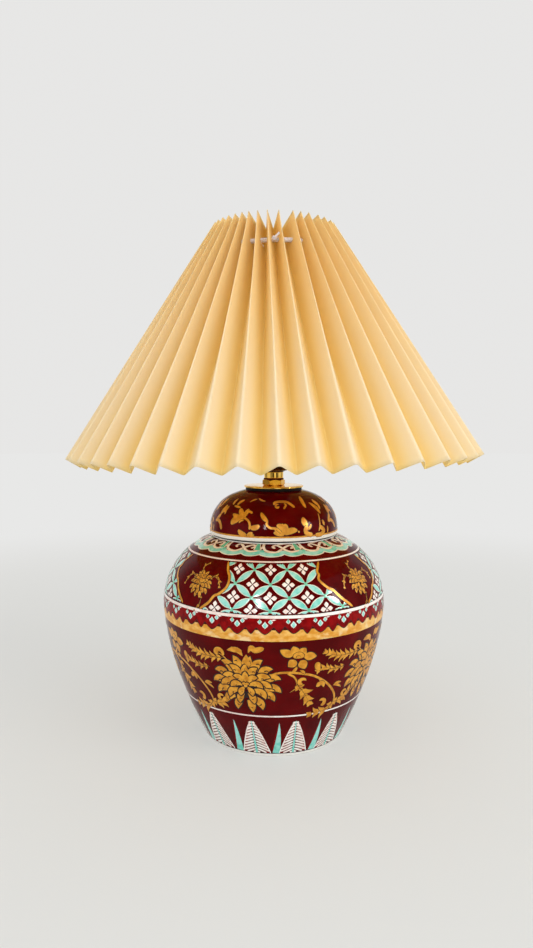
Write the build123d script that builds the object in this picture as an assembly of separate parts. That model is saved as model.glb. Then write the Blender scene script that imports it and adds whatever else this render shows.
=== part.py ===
from build123d import *
import os
from math import acos, cos, degrees, hypot, radians, sin, sqrt

# Ginger jar table lamp with a pleated, gathered shade, in millimetres.
# The origin is on the table, in the middle of the foot ring. +Z is up and -Y is the front.
# Jar and lid are stacked on one threaded tube, which also carries the lampholder.
# The shade sits on a wire carrier that a ring clamps on the lampholder.

# ------------------------------------------------------------------ driving sizes: jar
foot_radius = 61.1
foot_ring_width = 7.0
foot_recess = 9.5
foot_edge_round = 1.0
floor_thickness = 6.0
belly_radius = 97.5
belly_height = 118.0
belly_fullness = 1.63  # 1 is a straight cone, more swells earlier
shoulder_radius = 60.0
jar_wall = 5.0
seat_radius = 54.5
seat_width = 6.0
seat_step = 0.8
neck_height = 11.0
neck_wall = 4.0
neck_lip_round = 1.5

# lid
gasket_thickness = 1.2
lid_overhang = 2.1
lid_height = 39.8
lid_fullness = 2.55  # 2 is an ellipse, more is squarer
lid_wall = 4.5
lid_edge_round = 0.8

# stack on the lid
cap_washer_radius = 24.8
cap_washer_thickness = 2.4
vase_cap_radius = 26.15
vase_cap_thickness = 1.4
vase_cap_round = 0.5
nut_across_flats = 17.5
cap_nut_height = 5.2
cap_nut_turn = 8.0
fibre_washer_radius = 8.8
fibre_washer_thickness = 1.0
collar_radius = 8.6
collar_height = 6.1
collar_round = 2.0

# threaded tube, and what holds it under the floor
tube_radius = 5.0
tube_bore_radius = 4.0
tube_hole_clearance = 0.5
tube_above_table = 1.5
tube_window_width = 5.0
tube_window_length = 14.0
tube_window_above_floor = 4.0
base_rubber_radius = 20.0
base_rubber_thickness = 2.0
base_washer_radius = 18.0
base_washer_thickness = 1.5
base_nut_height = 3.5

# cord inlet in the back of the jar
inlet_height = 24.0
inlet_outer_radius = 6.0
inlet_bore_radius = 3.6
inlet_flange_radius = 8.5
inlet_flange_thickness = 1.8
inlet_flange_round = 0.7
inlet_inner_gap = 0.6

# lampholder
holder_neck_radius = 9.7
holder_neck_height = 0.6
holder_radius = 19.4
holder_wall = 2.0
holder_floor_height = 9.8
holder_dome_height = 11.0
holder_cap_height = 22.8
tube_in_holder = 7.3
spigot_length = 8.0
spigot_clearance = 0.1
insert_radius = 15.3
insert_thickness = 7.0
insert_above_joint = 1.0
insert_ledge_height = 2.0
sleeve_wall = 2.1
flange_above_joint = 9.0
flange_radius = 22.5
flange_thickness = 3.0
holder_thread_radius = 19.7
holder_thread_length = 23.0
holder_thread_wall = 3.2
holder_lip_height = 3.0
holder_lip_radius = 18.6
screw_shell_radius = 13.25
screw_shell_wall = 0.4
screw_shell_height = 24.0
screw_shell_floor_hole = 8.0
screw_shell_clearance = 0.55
contact_rise = 2.0
contact_length = 12.0
contact_width = 6.0
contact_strip = 0.6
terminal_size = 6.0
terminal_height = 5.0
terminal_spacing = 14.0
terminal_screw_radius = 1.5
terminal_head_radius = 2.6
terminal_head_height = 1.5

# bulb
bulb_radius = 30.0
bulb_length = 106.0
bulb_glass_wall = 0.8
bulb_cap_clearance = 0.1
bulb_cap_wall = 0.4
bulb_cap_height = 21.0
bulb_neck_in_cap = 6.0
bulb_tip_radius = 4.5
bulb_tip_height = 1.2
bulb_insulator_height = 3.3
bulb_insulator_radius = 10.5
bulb_insulator_rim = 1.6

# shade
pleat_count = 40
hem_radius = 175.0
top_radius = 52.8
shade_rise = 195.3
hem_below_carrier = 18.7
hem_valley_in = 13.0
hem_valley_down = 7.5
top_valley_in = 16.9
top_valley_down = 10.6
sheet_thickness = 0.5
gather_twist = -6.5  # degrees that the top is turned against the hem
cord_below_top = 24.7
cord_ring_radius = 56.0
cord_radius = 1.55
cord_hole_clearance = 0.4
knot_radius = 2.2
knot_tail_radius = 1.3
knot_out = 6.5

# wire carrier of the shade
carrier_hole_clearance = 0.6
carrier_ring_width = 7.2
carrier_ring_thickness = 1.5
wire_radius = 1.5
wire_clearance = 0.3
weld_depth = 0.5
lower_wire_above_carrier = 18.9
upper_wire_below_cord = 9.5
spoke_count = 3
first_spoke = 90.0
spoke_from_ring_edge = 2.0

# clamp ring
running_clearance = 0.1
clamp_ring_height = 6.0
clamp_ring_radius = 24.0
clamp_grip_count = 18
clamp_grip_radius = 1.3

ON_FLOOR = (Align.CENTER, Align.CENTER, Align.MIN)


# ------------------------------------------------------------------ curves of jar and lid
def body_radius(height):
    """Outer radius of the jar below its belly: a power curve that stands upright at the belly."""
    return belly_radius - (belly_radius - foot_radius) * (1 - height / belly_height) ** belly_fullness


def body_slope(height):
    """How much the jar's radius grows for each unit of height."""
    left = (1 - height / belly_height) ** (belly_fullness - 1)
    return (belly_radius - foot_radius) * belly_fullness / belly_height * left


def body_curve(bottom, wall):
    """The jar's side from a height up to the belly, moved inwards by a wall."""
    points = []
    for step in range(7):
        height = belly_height - (belly_height - bottom) * (6 - step) / 6
        slope = body_slope(height)
        points.append((body_radius(height) - wall * sqrt(1 + slope**2), height))
    return Spline(*points, tangents=[(body_slope(bottom), 1), (0, 1)])


shoulder_centre = belly_radius - shoulder_radius


def shoulder_height(radius, wall=0.0):
    """Height of the shoulder, an arc of a circle, at a distance from the axis."""
    return belly_height + sqrt((shoulder_radius - wall) ** 2 - (radius - shoulder_centre) ** 2)


def shoulder_curve(radius, wall):
    """The jar's shoulder from the belly in to a radius."""
    arc_radius = shoulder_radius - wall
    sweep = degrees(acos((radius - shoulder_centre) / arc_radius))
    return CenterArc((shoulder_centre, belly_height), arc_radius, 0, sweep)


def dome_height(radius, rim_radius, height):
    """Height over its rim of the lid's curve, a superellipse, at a distance from the axis."""
    return height * (1 - (radius / rim_radius) ** lid_fullness) ** (1 / lid_fullness)


def dome_curve(end_radius, rim_radius, height, bottom):
    """The lid's curve from its rim in to a radius, with its points spread by angle."""
    last = acos((end_radius / rim_radius) ** (lid_fullness / 2))
    points = []
    for step in range(9):
        angle = last * step / 8
        radius = rim_radius * cos(angle) ** (2 / lid_fullness)
        points.append((radius, bottom + height * sin(angle) ** (2 / lid_fullness)))
    rise = dome_height(end_radius, rim_radius, height)
    fall = (height / rim_radius) ** lid_fullness * (end_radius / rise) ** (lid_fullness - 1)
    return Spline(*points, tangents=[(0, 1), (-1, fall)])


# ------------------------------------------------------------------ sizes that follow, heights from the table up
neck_radius = seat_radius - seat_width
lid_radius = seat_radius + lid_overhang
floor_top = foot_recess + floor_thickness
seat_z = shoulder_height(seat_radius) + seat_step
lid_z = seat_z + gasket_thickness
crown_z = lid_z + dome_height(cap_washer_radius, lid_radius, lid_height)
vase_cap_z = crown_z + cap_washer_thickness
cap_nut_z = vase_cap_z + vase_cap_thickness
fibre_washer_z = cap_nut_z + cap_nut_height
collar_z = fibre_washer_z + fibre_washer_thickness
holder_z = collar_z + collar_height
joint_z = holder_z + holder_cap_height
insert_z = joint_z + insert_above_joint
insert_top = insert_z + insert_thickness
flange_z = joint_z + flange_above_joint
carrier_z = flange_z + flange_thickness + running_clearance
carrier_top = carrier_z + carrier_ring_thickness
thread_top = flange_z + flange_thickness + holder_thread_length
bulb_z = insert_top + contact_rise + bulb_cap_clearance
bulb_cap_z = bulb_z + bulb_tip_height + bulb_insulator_height
hem_z = carrier_z - hem_below_carrier
cord_z = hem_z + shade_rise - cord_below_top
lower_wire_z = carrier_z + lower_wire_above_carrier
upper_wire_z = cord_z - upper_wire_below_cord
tube_hole_radius = tube_radius + tube_hole_clearance


# ------------------------------------------------------------------ small helpers
def turned(*edges):
    """Solid turned about the Z axis from joined edges drawn as (radius, height)."""
    return revolve(make_face([Plane.XZ * edge for edge in edges]), Axis.Z)


def turned_outline(*corners):
    """Solid turned about the Z axis from the corners of its closed outline."""
    return turned(Polyline(*corners, close=True))


def ring(inner_radius, outer_radius, bottom, top):
    """Plain flat ring or round tube."""
    corners = [(inner_radius, bottom), (outer_radius, bottom), (outer_radius, top), (inner_radius, top)]
    return turned_outline(*corners)


def rounded(solid, radius, amount):
    """Rounds the circular edges that a turned solid has at a radius."""
    circles = solid.edges().filter_by(GeomType.CIRCLE)
    return fillet([circle for circle in circles if abs(circle.radius - radius) < 1e-4], amount)


def hex_nut(bottom, height):
    """Hexagonal nut on the tube, with its corners turned off on both faces."""
    corner_radius = nut_across_flats / sqrt(3)
    corner_cut = corner_radius - nut_across_flats / 2
    prism = extrude(RegularPolygon(nut_across_flats / 2, 6, major_radius=False), height)
    blank = Cylinder(corner_radius, height, align=ON_FLOOR)
    blank = chamfer(blank.edges().filter_by(GeomType.CIRCLE), corner_cut / 2, corner_cut)
    return Pos(0, 0, bottom) * ((prism & blank) - Cylinder(tube_radius, height, align=ON_FLOOR))


def rod(start, end, radius):
    """Straight round wire between two points."""
    line = Vector(*end) - Vector(*start)
    plane = Plane(origin=start, z_dir=line)
    return plane * Cylinder(radius, line.length, align=ON_FLOOR)


# ------------------------------------------------------------------ jar
inlet_tilt = body_slope(inlet_height)
inlet_plane = Plane(origin=(0, body_radius(inlet_height), inlet_height), x_dir=(1, 0, 0), z_dir=(0, 1, -inlet_tilt))


def make_jar_body():
    """Hollow jar on a foot ring, with a step for the lid round its neck."""
    foot_inner = foot_radius - foot_ring_width
    neck_bore = neck_radius - neck_wall
    neck_top = seat_z + neck_height
    floor_radius = body_radius(floor_top) - jar_wall * sqrt(1 + body_slope(floor_top) ** 2)
    foot = Polyline((foot_radius, 0), (foot_inner, 0), (foot_inner, foot_recess), (tube_hole_radius, foot_recess),
                    (tube_hole_radius, floor_top), (floor_radius, floor_top))
    inner_neck_z = shoulder_height(neck_bore, jar_wall)
    neck = Polyline((neck_bore, inner_neck_z), (neck_bore, neck_top), (neck_radius, neck_top),
                    (neck_radius, seat_z), (seat_radius, seat_z), (seat_radius, shoulder_height(seat_radius)))
    jar = turned(foot, body_curve(floor_top, jar_wall), shoulder_curve(neck_bore, jar_wall), neck,
                 shoulder_curve(seat_radius, 0), body_curve(0, 0))
    jar = rounded(jar, foot_radius, foot_edge_round)
    lip = [edge for edge in jar.edges().filter_by(GeomType.CIRCLE) if abs(edge.center().Z - neck_top) < 1e-4]
    jar = fillet(lip, neck_lip_round)
    return jar - inlet_plane * Cylinder(inlet_outer_radius, 4 * jar_wall)


def make_jar_lid():
    """Cap-shaped lid that stands on the shoulder round the neck, drilled for the tube."""
    inner_radius = lid_radius - lid_wall
    inner_height = lid_height - lid_wall
    inner_crown = lid_z + dome_height(cap_washer_radius, inner_radius, inner_height)
    crown = Polyline((cap_washer_radius, crown_z), (tube_hole_radius, crown_z), (tube_hole_radius, inner_crown),
                     (cap_washer_radius, inner_crown))
    lid = turned(dome_curve(cap_washer_radius, lid_radius, lid_height, lid_z), crown,
                 dome_curve(cap_washer_radius, inner_radius, inner_height, lid_z),
                 Line((inner_radius, lid_z), (lid_radius, lid_z)))
    return rounded(lid, lid_radius, lid_edge_round)


def make_cord_grommet():
    """Rubber bush in the hole at the back, square to the sloping wall, with a flange on each side."""
    inner_face = -jar_wall - inlet_inner_gap
    back = inner_face - inlet_flange_thickness
    front = inlet_flange_thickness
    bush = turned_outline((inlet_bore_radius, back), (inlet_flange_radius, back), (inlet_flange_radius, inner_face),
                          (inlet_outer_radius, inner_face), (inlet_outer_radius, 0), (inlet_flange_radius, 0),
                          (inlet_flange_radius, front), (inlet_bore_radius, front))
    return inlet_plane * rounded(bush, inlet_flange_radius, inlet_flange_round)


# ------------------------------------------------------------------ tube and fastenings
def make_threaded_tube():
    """Threaded tube from under the floor into the lampholder, with a window that lets the cord in."""
    tube = ring(tube_bore_radius, tube_radius, tube_above_table, holder_z + tube_in_holder)
    window_z = floor_top + tube_window_above_floor
    window = Box(tube_window_width, 2 * tube_radius, tube_window_length, align=(Align.CENTER, Align.MIN, Align.MIN))
    return tube - Pos(0, 0, window_z) * window


base_rubber_z = foot_recess - base_rubber_thickness
base_washer_z = base_rubber_z - base_washer_thickness
base_nut_z = base_washer_z - base_nut_height


def make_brass_collar():
    """Round brass bead between the washer and the lampholder."""
    collar = ring(tube_radius, collar_radius, collar_z, holder_z)
    return rounded(collar, collar_radius, collar_round)


def make_vase_cap():
    """Flat brass disc that spreads the nut's load over the lid."""
    disc = ring(tube_radius, vase_cap_radius, vase_cap_z, cap_nut_z)
    return rounded(disc, vase_cap_radius, vase_cap_round)


# ------------------------------------------------------------------ lampholder
cavity_radius = holder_radius - holder_wall
spigot_outer = cavity_radius - spigot_clearance
spigot_inner = insert_radius + spigot_clearance
holder_bore = screw_shell_radius + screw_shell_wall + screw_shell_clearance


def make_holder_cap():
    """Lower half of the lampholder: a low neck on the tube, a dome, and a sleeve that carries the insert."""
    sleeve_inner = insert_radius - sleeve_wall
    floor_z = holder_z + holder_floor_height
    groove_z = joint_z - spigot_length - spigot_clearance
    neck_top = holder_z + holder_neck_height
    outside = Polyline((tube_radius, holder_z), (holder_neck_radius, holder_z), (holder_neck_radius, neck_top))
    dome = Spline((holder_neck_radius, neck_top), (holder_radius, holder_z + holder_dome_height),
                  tangents=[(1, 0), (0, 1)])
    inside = Polyline((holder_radius, holder_z + holder_dome_height), (holder_radius, joint_z),
                      (cavity_radius, joint_z), (cavity_radius, groove_z), (insert_radius, groove_z),
                      (insert_radius, insert_z), (sleeve_inner, insert_z), (sleeve_inner, floor_z),
                      (tube_radius, floor_z), (tube_radius, holder_z))
    return turned(outside, dome, inside)


def make_holder_shell():
    """Upper half of the lampholder: spigot, flange for the shade, threaded barrel and mouth."""
    seat = flange_z + flange_thickness
    barrel_bore = holder_thread_radius - holder_thread_wall
    ledge_top = insert_top + insert_ledge_height
    lip_top = thread_top + holder_lip_height
    return turned_outline((spigot_inner, joint_z - spigot_length), (spigot_outer, joint_z - spigot_length),
                          (spigot_outer, joint_z), (holder_radius, joint_z), (holder_radius, flange_z),
                          (flange_radius, flange_z), (flange_radius, seat), (holder_thread_radius, seat),
                          (holder_thread_radius, thread_top), (holder_lip_radius, thread_top),
                          (holder_lip_radius, lip_top), (holder_bore, lip_top), (holder_bore, thread_top),
                          (barrel_bore, thread_top), (barrel_bore, ledge_top), (holder_bore, ledge_top),
                          (holder_bore, insert_top), (spigot_inner, insert_top))


def terminal_places():
    """Where the two terminals hang under the insert."""
    return [Pos(side * terminal_spacing / 2, 0, insert_z) for side in (-1, 1)]


def make_holder_terminals():
    """Two brass blocks with a screw hole each."""
    block = Pos(0, 0, -terminal_height) * Box(terminal_size, terminal_size, terminal_height, align=ON_FLOOR)
    block -= Pos(0, 0, -terminal_height) * Cylinder(terminal_screw_radius, terminal_height - 1, align=ON_FLOOR)
    return Compound([place * block for place in terminal_places()])


def make_terminal_screws():
    """Two screws whose heads are under the terminal blocks."""
    shank_length = terminal_height - 1
    screw = Cylinder(terminal_screw_radius, shank_length, align=ON_FLOOR)
    screw += Pos(0, 0, -terminal_head_height) * Cylinder(terminal_head_radius, terminal_head_height, align=ON_FLOOR)
    return Compound([place * Pos(0, 0, -terminal_height) * screw for place in terminal_places()])


def make_screw_shell():
    """Brass screw shell of the lampholder, with a floor that stands on the insert."""
    outer = screw_shell_radius + screw_shell_wall
    floor = insert_top + screw_shell_wall
    top = insert_top + screw_shell_height
    return turned_outline((screw_shell_floor_hole, insert_top), (outer, insert_top), (outer, top),
                          (screw_shell_radius, top), (screw_shell_radius, floor), (screw_shell_floor_hole, floor))


def make_centre_contact():
    """Bent brass strip on the insert that presses on the bulb's tip."""
    low = contact_strip / 2
    high = contact_rise - contact_strip / 2
    end = contact_length / 2
    path = Polyline((-end, low), (-0.55 * end, low), (-0.25 * end, high), (0.25 * end, high), (0.55 * end, low), (end, low))
    strip = extrude(Plane.XZ * trace(path, contact_strip), contact_width / 2, both=True)
    return Pos(0, 0, insert_top) * strip


# ------------------------------------------------------------------ bulb
bulb_cap_radius = screw_shell_radius - bulb_cap_clearance
bulb_cap_top = bulb_cap_z + bulb_cap_height


def make_bulb_glass():
    """Thin pear-shaped envelope whose neck stands in the metal cap."""
    top = bulb_z + bulb_length
    middle = top - bulb_radius
    neck = bulb_cap_radius - bulb_cap_wall
    neck_bore = neck - bulb_glass_wall
    neck_bottom = bulb_cap_top - bulb_neck_in_cap
    inner_radius = bulb_radius - bulb_glass_wall
    foot = Polyline((neck_bore, bulb_cap_top), (neck_bore, neck_bottom), (neck, neck_bottom), (neck, bulb_cap_top),
                    (bulb_cap_radius, bulb_cap_top))
    outside = Spline((bulb_cap_radius, bulb_cap_top), (bulb_radius, middle), tangents=[(0, 1), (0, 1)])
    inside = Spline((neck_bore, bulb_cap_top), (inner_radius, middle), tangents=[(0, 1), (0, 1)])
    crown = Line((0, top), (0, top - bulb_glass_wall))
    return turned(foot, outside, CenterArc((0, middle), bulb_radius, 0, 90), crown,
                  CenterArc((0, middle), inner_radius, 0, 90), inside)


def make_bulb_cap():
    """Metal screw cap of the bulb, open at the top and turned in at the bottom."""
    inner = bulb_cap_radius - bulb_cap_wall
    floor = bulb_cap_z + bulb_cap_wall
    return turned_outline((bulb_insulator_radius, bulb_cap_z), (bulb_cap_radius, bulb_cap_z),
                          (bulb_cap_radius, bulb_cap_top), (inner, bulb_cap_top), (inner, floor),
                          (bulb_insulator_radius, floor))


def make_bulb_insulator():
    """Black glass cone between the cap and the tip, with a rim that lies on the cap's floor."""
    bottom = bulb_z + bulb_tip_height
    floor = bulb_cap_z + bulb_cap_wall
    rim = bulb_cap_radius - bulb_cap_wall - bulb_cap_clearance
    rim_top = floor + bulb_insulator_rim
    return turned_outline((0, bottom), (bulb_tip_radius, bottom), (bulb_insulator_radius, bulb_cap_z),
                          (bulb_insulator_radius, floor), (rim, floor), (rim, rim_top), (0, rim_top))


# ------------------------------------------------------------------ pleated shade
def folds(mountain_radius, mountain_z, valley_in, valley_down, turn, inset=0.0):
    """Mountain and valley fold ends in turn round one edge of the shade."""
    points = []
    for step in range(2 * pleat_count):
        angle = radians(-90 + turn + step * 180 / pleat_count)
        is_valley = step % 2
        radius = mountain_radius - is_valley * valley_in - inset
        points.append(Vector(radius * cos(angle), radius * sin(angle), mountain_z - is_valley * valley_down))
    return points


def hem_folds(inset=0.0):
    return folds(hem_radius, hem_z, hem_valley_in, hem_valley_down, 0, inset)


def top_folds(inset=0.0):
    return folds(top_radius, hem_z + shade_rise, top_valley_in, top_valley_down, gather_twist, inset)


def sheet_inset(edge, other_edge):
    """How far a panel's end moves towards the axis to leave the sheet's thickness, square to the panel."""
    mountain, valley = edge[0], edge[1]
    square = (valley - mountain).cross(other_edge[0] - mountain).normalized()
    outwards = Vector(mountain.X + valley.X, mountain.Y + valley.Y, 0).normalized()
    return sheet_thickness / abs(square.dot(outwards))


hem_inset = sheet_inset(hem_folds(), top_folds())
middle_folds = [(low + high) * 0.5 for low, high in zip(hem_folds(), top_folds())]
top_inset = 2 * sheet_inset(middle_folds, top_folds()) - hem_inset
cord_hole_radius = cord_radius + cord_hole_clearance


def fold_at(height, which):
    """Point on the outside of the first mountain (0) or valley (1) fold at a height."""
    low, high = hem_folds()[which], top_folds()[which]
    return low + (high - low) * ((height - low.Z) / (high.Z - low.Z))


def valley_bore(height):
    """Radius that stays free inside the valleys at a height."""
    fold = fold_at(height, 1)
    share = (height - hem_z) / shade_rise
    return hypot(fold.X, fold.Y) - hem_inset - (top_inset - hem_inset) * share


def on_panel(panel, across, along):
    """Point on the ruled panel between two folds, by its shares across it and up it."""
    low = panel[0] + (panel[1] - panel[0]) * across
    high = panel[2] + (panel[3] - panel[2]) * across
    return low + (high - low) * along


def along_at_cord(panel, across):
    """Share up a panel at which it is as high as the cord."""
    low, high = on_panel(panel, across, 0).Z, on_panel(panel, across, 1).Z
    return (cord_z - low) / (high - low)


def cord_hole(panel, mountain_side):
    """Corners of the hole where the cord goes through a panel, punched along the panel's own straight lines."""
    outside, inside = mountain_side, 1 - mountain_side
    for _ in range(30):
        across = (outside + inside) / 2
        point = on_panel(panel, across, along_at_cord(panel, across))
        if hypot(point.X, point.Y) > cord_ring_radius:
            outside = across
        else:
            inside = across
    along = along_at_cord(panel, across)
    half_across = cord_hole_radius / (on_panel(panel, 1, along) - on_panel(panel, 0, along)).length
    half_along = cord_hole_radius / (on_panel(panel, across, 1) - on_panel(panel, across, 0)).length
    corners = [(-1, -1), (1, -1), (1, 1), (-1, 1)]
    return [on_panel(panel, across + x * half_across, along + y * half_along) for x, y in corners]


def ruled(start, end, other_start, other_end):
    """Surface of straight lines between two straight edges."""
    return Face.make_bezier_surface([[start, end], [other_start, other_end]])


def make_shade_pleats():
    """One strip folded into pleats: an outer and an inner skin of ruled panels, joined along both edges and
    round the cord's holes. A gathered panel turns as it rises, so it is ruled, not flat."""
    hems = [hem_folds(), hem_folds(hem_inset)]
    tops = [top_folds(), top_folds(top_inset)]
    count = 2 * pleat_count
    faces = []
    for i in range(count):
        j = (i + 1) % count
        holes = []
        for hem, top in zip(hems, tops):
            panel = (hem[i], hem[j], top[i], top[j])
            holes.append(cord_hole(panel, i % 2))
            faces.append(ruled(*panel).make_holes([Wire.make_polygon(holes[-1])]))
        for outer, inner in (hems, tops):
            faces.append(ruled(outer[i], outer[j], inner[i], inner[j]))
        for corner in range(4):
            after = (corner + 1) % 4
            faces.append(ruled(holes[0][corner], holes[0][after], holes[1][corner], holes[1][after]))
    return Solid(Shell(faces))


def make_gather_cord():
    """Cord through the holes that draws the pleats together."""
    return Pos(0, 0, cord_z) * Torus(cord_ring_radius, cord_radius)


def make_gather_knot():
    """Knot and tail of the cord, in the pleat at the front."""
    valley = fold_at(cord_z, 1)
    outwards = Vector(valley.X, valley.Y, 0).normalized()
    start = outwards * cord_ring_radius + Vector(0, 0, cord_z)
    end = start + outwards * knot_out
    return rod(start, end, knot_tail_radius) + Pos(*end) * Sphere(knot_radius) - make_gather_cord()


# ------------------------------------------------------------------ wire carrier and clamp ring
carrier_hole = holder_thread_radius + carrier_hole_clearance
carrier_ring_radius = carrier_hole + carrier_ring_width
valley_lean = (valley_bore(lower_wire_z) - valley_bore(upper_wire_z)) / (upper_wire_z - lower_wire_z)
wire_to_fold = (wire_radius + wire_clearance) * hypot(1, valley_lean)
lower_wire_radius = valley_bore(lower_wire_z) - wire_to_fold
upper_wire_radius = valley_bore(upper_wire_z) - wire_to_fold
rib_inset = (2 * wire_radius - weld_depth) * hypot(1, valley_lean)


def make_carrier_ring():
    return ring(carrier_hole, carrier_ring_radius, carrier_z, carrier_top)


def make_lower_wire():
    return Pos(0, 0, lower_wire_z) * Torus(lower_wire_radius, wire_radius)


def make_upper_wire():
    return Pos(0, 0, upper_wire_z) * Torus(upper_wire_radius, wire_radius)


def spread(wire, first):
    """The same wire at even angles round the axis, from a first one."""
    return [Rot(0, 0, first + 360 * i / spoke_count) * wire for i in range(spoke_count)]


def make_spokes():
    """Spokes from the carrier ring out to the lower wire, ground to fit both."""
    start = (carrier_ring_radius - spoke_from_ring_edge, 0, carrier_top + wire_radius - weld_depth)
    spoke = rod(start, (lower_wire_radius, 0, lower_wire_z), wire_radius)
    return Compound(spread(spoke - make_carrier_ring() - make_lower_wire(), first_spoke))


def make_ribs():
    """Ribs inside the pleats from the lower wire to the upper one, halfway between the spokes."""
    low = (lower_wire_radius - rib_inset, 0, lower_wire_z)
    high = (upper_wire_radius - rib_inset, 0, upper_wire_z)
    rib = rod(low, high, wire_radius)
    return Compound(spread(rib - make_lower_wire() - make_upper_wire(), first_spoke + 180 / spoke_count))


def make_clamp_ring():
    """Ring nut with finger grips that holds the carrier down on the lampholder's flange."""
    bottom = carrier_top + running_clearance
    nut = ring(holder_thread_radius + running_clearance, clamp_ring_radius, bottom, bottom + clamp_ring_height)
    grip = Pos(clamp_ring_radius, 0, bottom) * Cylinder(clamp_grip_radius, clamp_ring_height, align=ON_FLOOR)
    return nut - [Rot(0, 0, 360 * i / clamp_grip_count) * grip for i in range(clamp_grip_count)]


# ------------------------------------------------------------------ all pieces
pieces = {
    "jar_body": make_jar_body(),
    "lid_gasket": ring(neck_radius, seat_radius, seat_z, lid_z),
    "jar_lid": make_jar_lid(),
    "cap_washer": ring(tube_radius, cap_washer_radius, crown_z, vase_cap_z),
    "vase_cap": make_vase_cap(),
    "cap_nut": Rot(0, 0, cap_nut_turn) * hex_nut(cap_nut_z, cap_nut_height),
    "fibre_washer": ring(tube_radius, fibre_washer_radius, fibre_washer_z, collar_z),
    "brass_collar": make_brass_collar(),
    "threaded_tube": make_threaded_tube(),
    "base_rubber_washer": ring(tube_radius, base_rubber_radius, base_rubber_z, foot_recess),
    "base_steel_washer": ring(tube_radius, base_washer_radius, base_washer_z, base_rubber_z),
    "base_nut": hex_nut(base_nut_z, base_nut_height),
    "cord_grommet": make_cord_grommet(),
    "holder_cap": make_holder_cap(),
    "holder_shell": make_holder_shell(),
    "holder_insert": ring(terminal_screw_radius, insert_radius, insert_z, insert_top),
    "holder_screw_shell": make_screw_shell(),
    "holder_centre_contact": make_centre_contact(),
    "holder_terminals": make_holder_terminals(),
    "holder_terminal_screws": make_terminal_screws(),
    "bulb_glass": make_bulb_glass(),
    "bulb_cap": make_bulb_cap(),
    "bulb_insulator": make_bulb_insulator(),
    "bulb_tip_contact": rounded(Pos(0, 0, bulb_z) * Cylinder(bulb_tip_radius, bulb_tip_height, align=ON_FLOOR),
                                bulb_tip_radius, bulb_tip_height / 3),
    "shade_pleats": make_shade_pleats(),
    "gather_cord": make_gather_cord(),
    "gather_knot": make_gather_knot(),
    "carrier_ring": make_carrier_ring(),
    "carrier_spokes": make_spokes(),
    "carrier_lower_wire": make_lower_wire(),
    "carrier_upper_wire": make_upper_wire(),
    "carrier_ribs": make_ribs(),
    "shade_clamp_ring": make_clamp_ring(),
}

os.makedirs("parts", exist_ok=True)
for name, solid in pieces.items():
    export_step(solid, f"parts/{name}.step")
print(len(pieces), "pieces, overall height", round(hem_z + shade_rise, 2))
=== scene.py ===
# %% [markdown]
# # A ginger jar lamp under a pleated shade
# The lamp is a red glazed porcelain jar with a cap-shaped lid, painted in gold and raised enamels and
# drilled for a lampholder, under a strip of pale card folded into forty pleats. The packed CAD model gives
# every size and joint. This script dresses it: finer surfaces where the real thing is glossy or soft, the
# painting, and all finishes.

import bmesh
import bpy
import numpy as np
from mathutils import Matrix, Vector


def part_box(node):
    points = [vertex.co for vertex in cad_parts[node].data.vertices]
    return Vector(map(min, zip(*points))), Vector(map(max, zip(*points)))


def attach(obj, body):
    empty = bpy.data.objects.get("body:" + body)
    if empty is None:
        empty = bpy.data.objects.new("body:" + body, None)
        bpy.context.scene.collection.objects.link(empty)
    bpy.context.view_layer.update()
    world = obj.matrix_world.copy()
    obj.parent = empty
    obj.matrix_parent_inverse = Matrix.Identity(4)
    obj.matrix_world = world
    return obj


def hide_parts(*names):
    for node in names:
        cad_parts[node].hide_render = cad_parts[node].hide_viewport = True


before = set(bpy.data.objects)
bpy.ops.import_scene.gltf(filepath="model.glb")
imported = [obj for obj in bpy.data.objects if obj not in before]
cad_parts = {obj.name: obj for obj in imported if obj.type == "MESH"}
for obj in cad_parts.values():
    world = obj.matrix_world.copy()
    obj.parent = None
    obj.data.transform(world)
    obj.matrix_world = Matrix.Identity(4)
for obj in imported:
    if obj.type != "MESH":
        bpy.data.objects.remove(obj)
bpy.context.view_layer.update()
MM = 0.001  # sizes below are in millimetres, as a workshop drawing's are

# %% [markdown]
# ## Camera
# The photograph was taken from a little above the middle of the lamp, looking down by four degrees. A camera
# could be placed by eye, but its lens was found from how the jar's painted lines curve, because the same
# numbers later turn a pixel of the photograph into a place on the jar. So the painting is laid out as it is
# seen there, and still lies on the glaze from every side.

# %% Camera and photograph
photo_width, photo_height = 533, 948
focal_length = 715.0  # in pixels of the photograph
pitch = np.radians(4.16)
eye = np.array([-6.4, -632.0, 274.9])
right_axis = np.array([1.0, 0.0, 0.0])
forward_axis = np.array([0.0, np.cos(pitch), -np.sin(pitch)])
up_axis = np.array([0.0, np.sin(pitch), np.cos(pitch)])

camera_data = bpy.data.cameras.new("camera")
camera_data.lens = focal_length / photo_height * camera_data.sensor_width
camera_data.clip_end = 50
camera = bpy.data.objects.new("camera", camera_data)
camera.location = eye * MM
camera.rotation_euler = (np.pi / 2 - pitch, 0, 0)
bpy.context.scene.collection.objects.link(camera)
bpy.context.scene.camera = camera
bpy.context.scene.view_settings.view_transform = "Standard"


def photo_rays(x, y):
    """Ray through each pixel: forward, plus sideways and upward by the pixel's distance from the middle."""
    across = (np.asarray(x, float) - photo_width / 2) / focal_length
    up = (photo_height / 2 - np.asarray(y, float)) / focal_length
    return forward_axis + across[..., None] * right_axis + up[..., None] * up_axis


def photo_x(points):
    """Pixel column of points: sideways distance over depth, times the focal length."""
    offset = points - eye
    return photo_width / 2 + focal_length * (offset @ right_axis) / (offset @ forward_axis)


print("lens:", round(camera_data.lens, 2), "mm")

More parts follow.
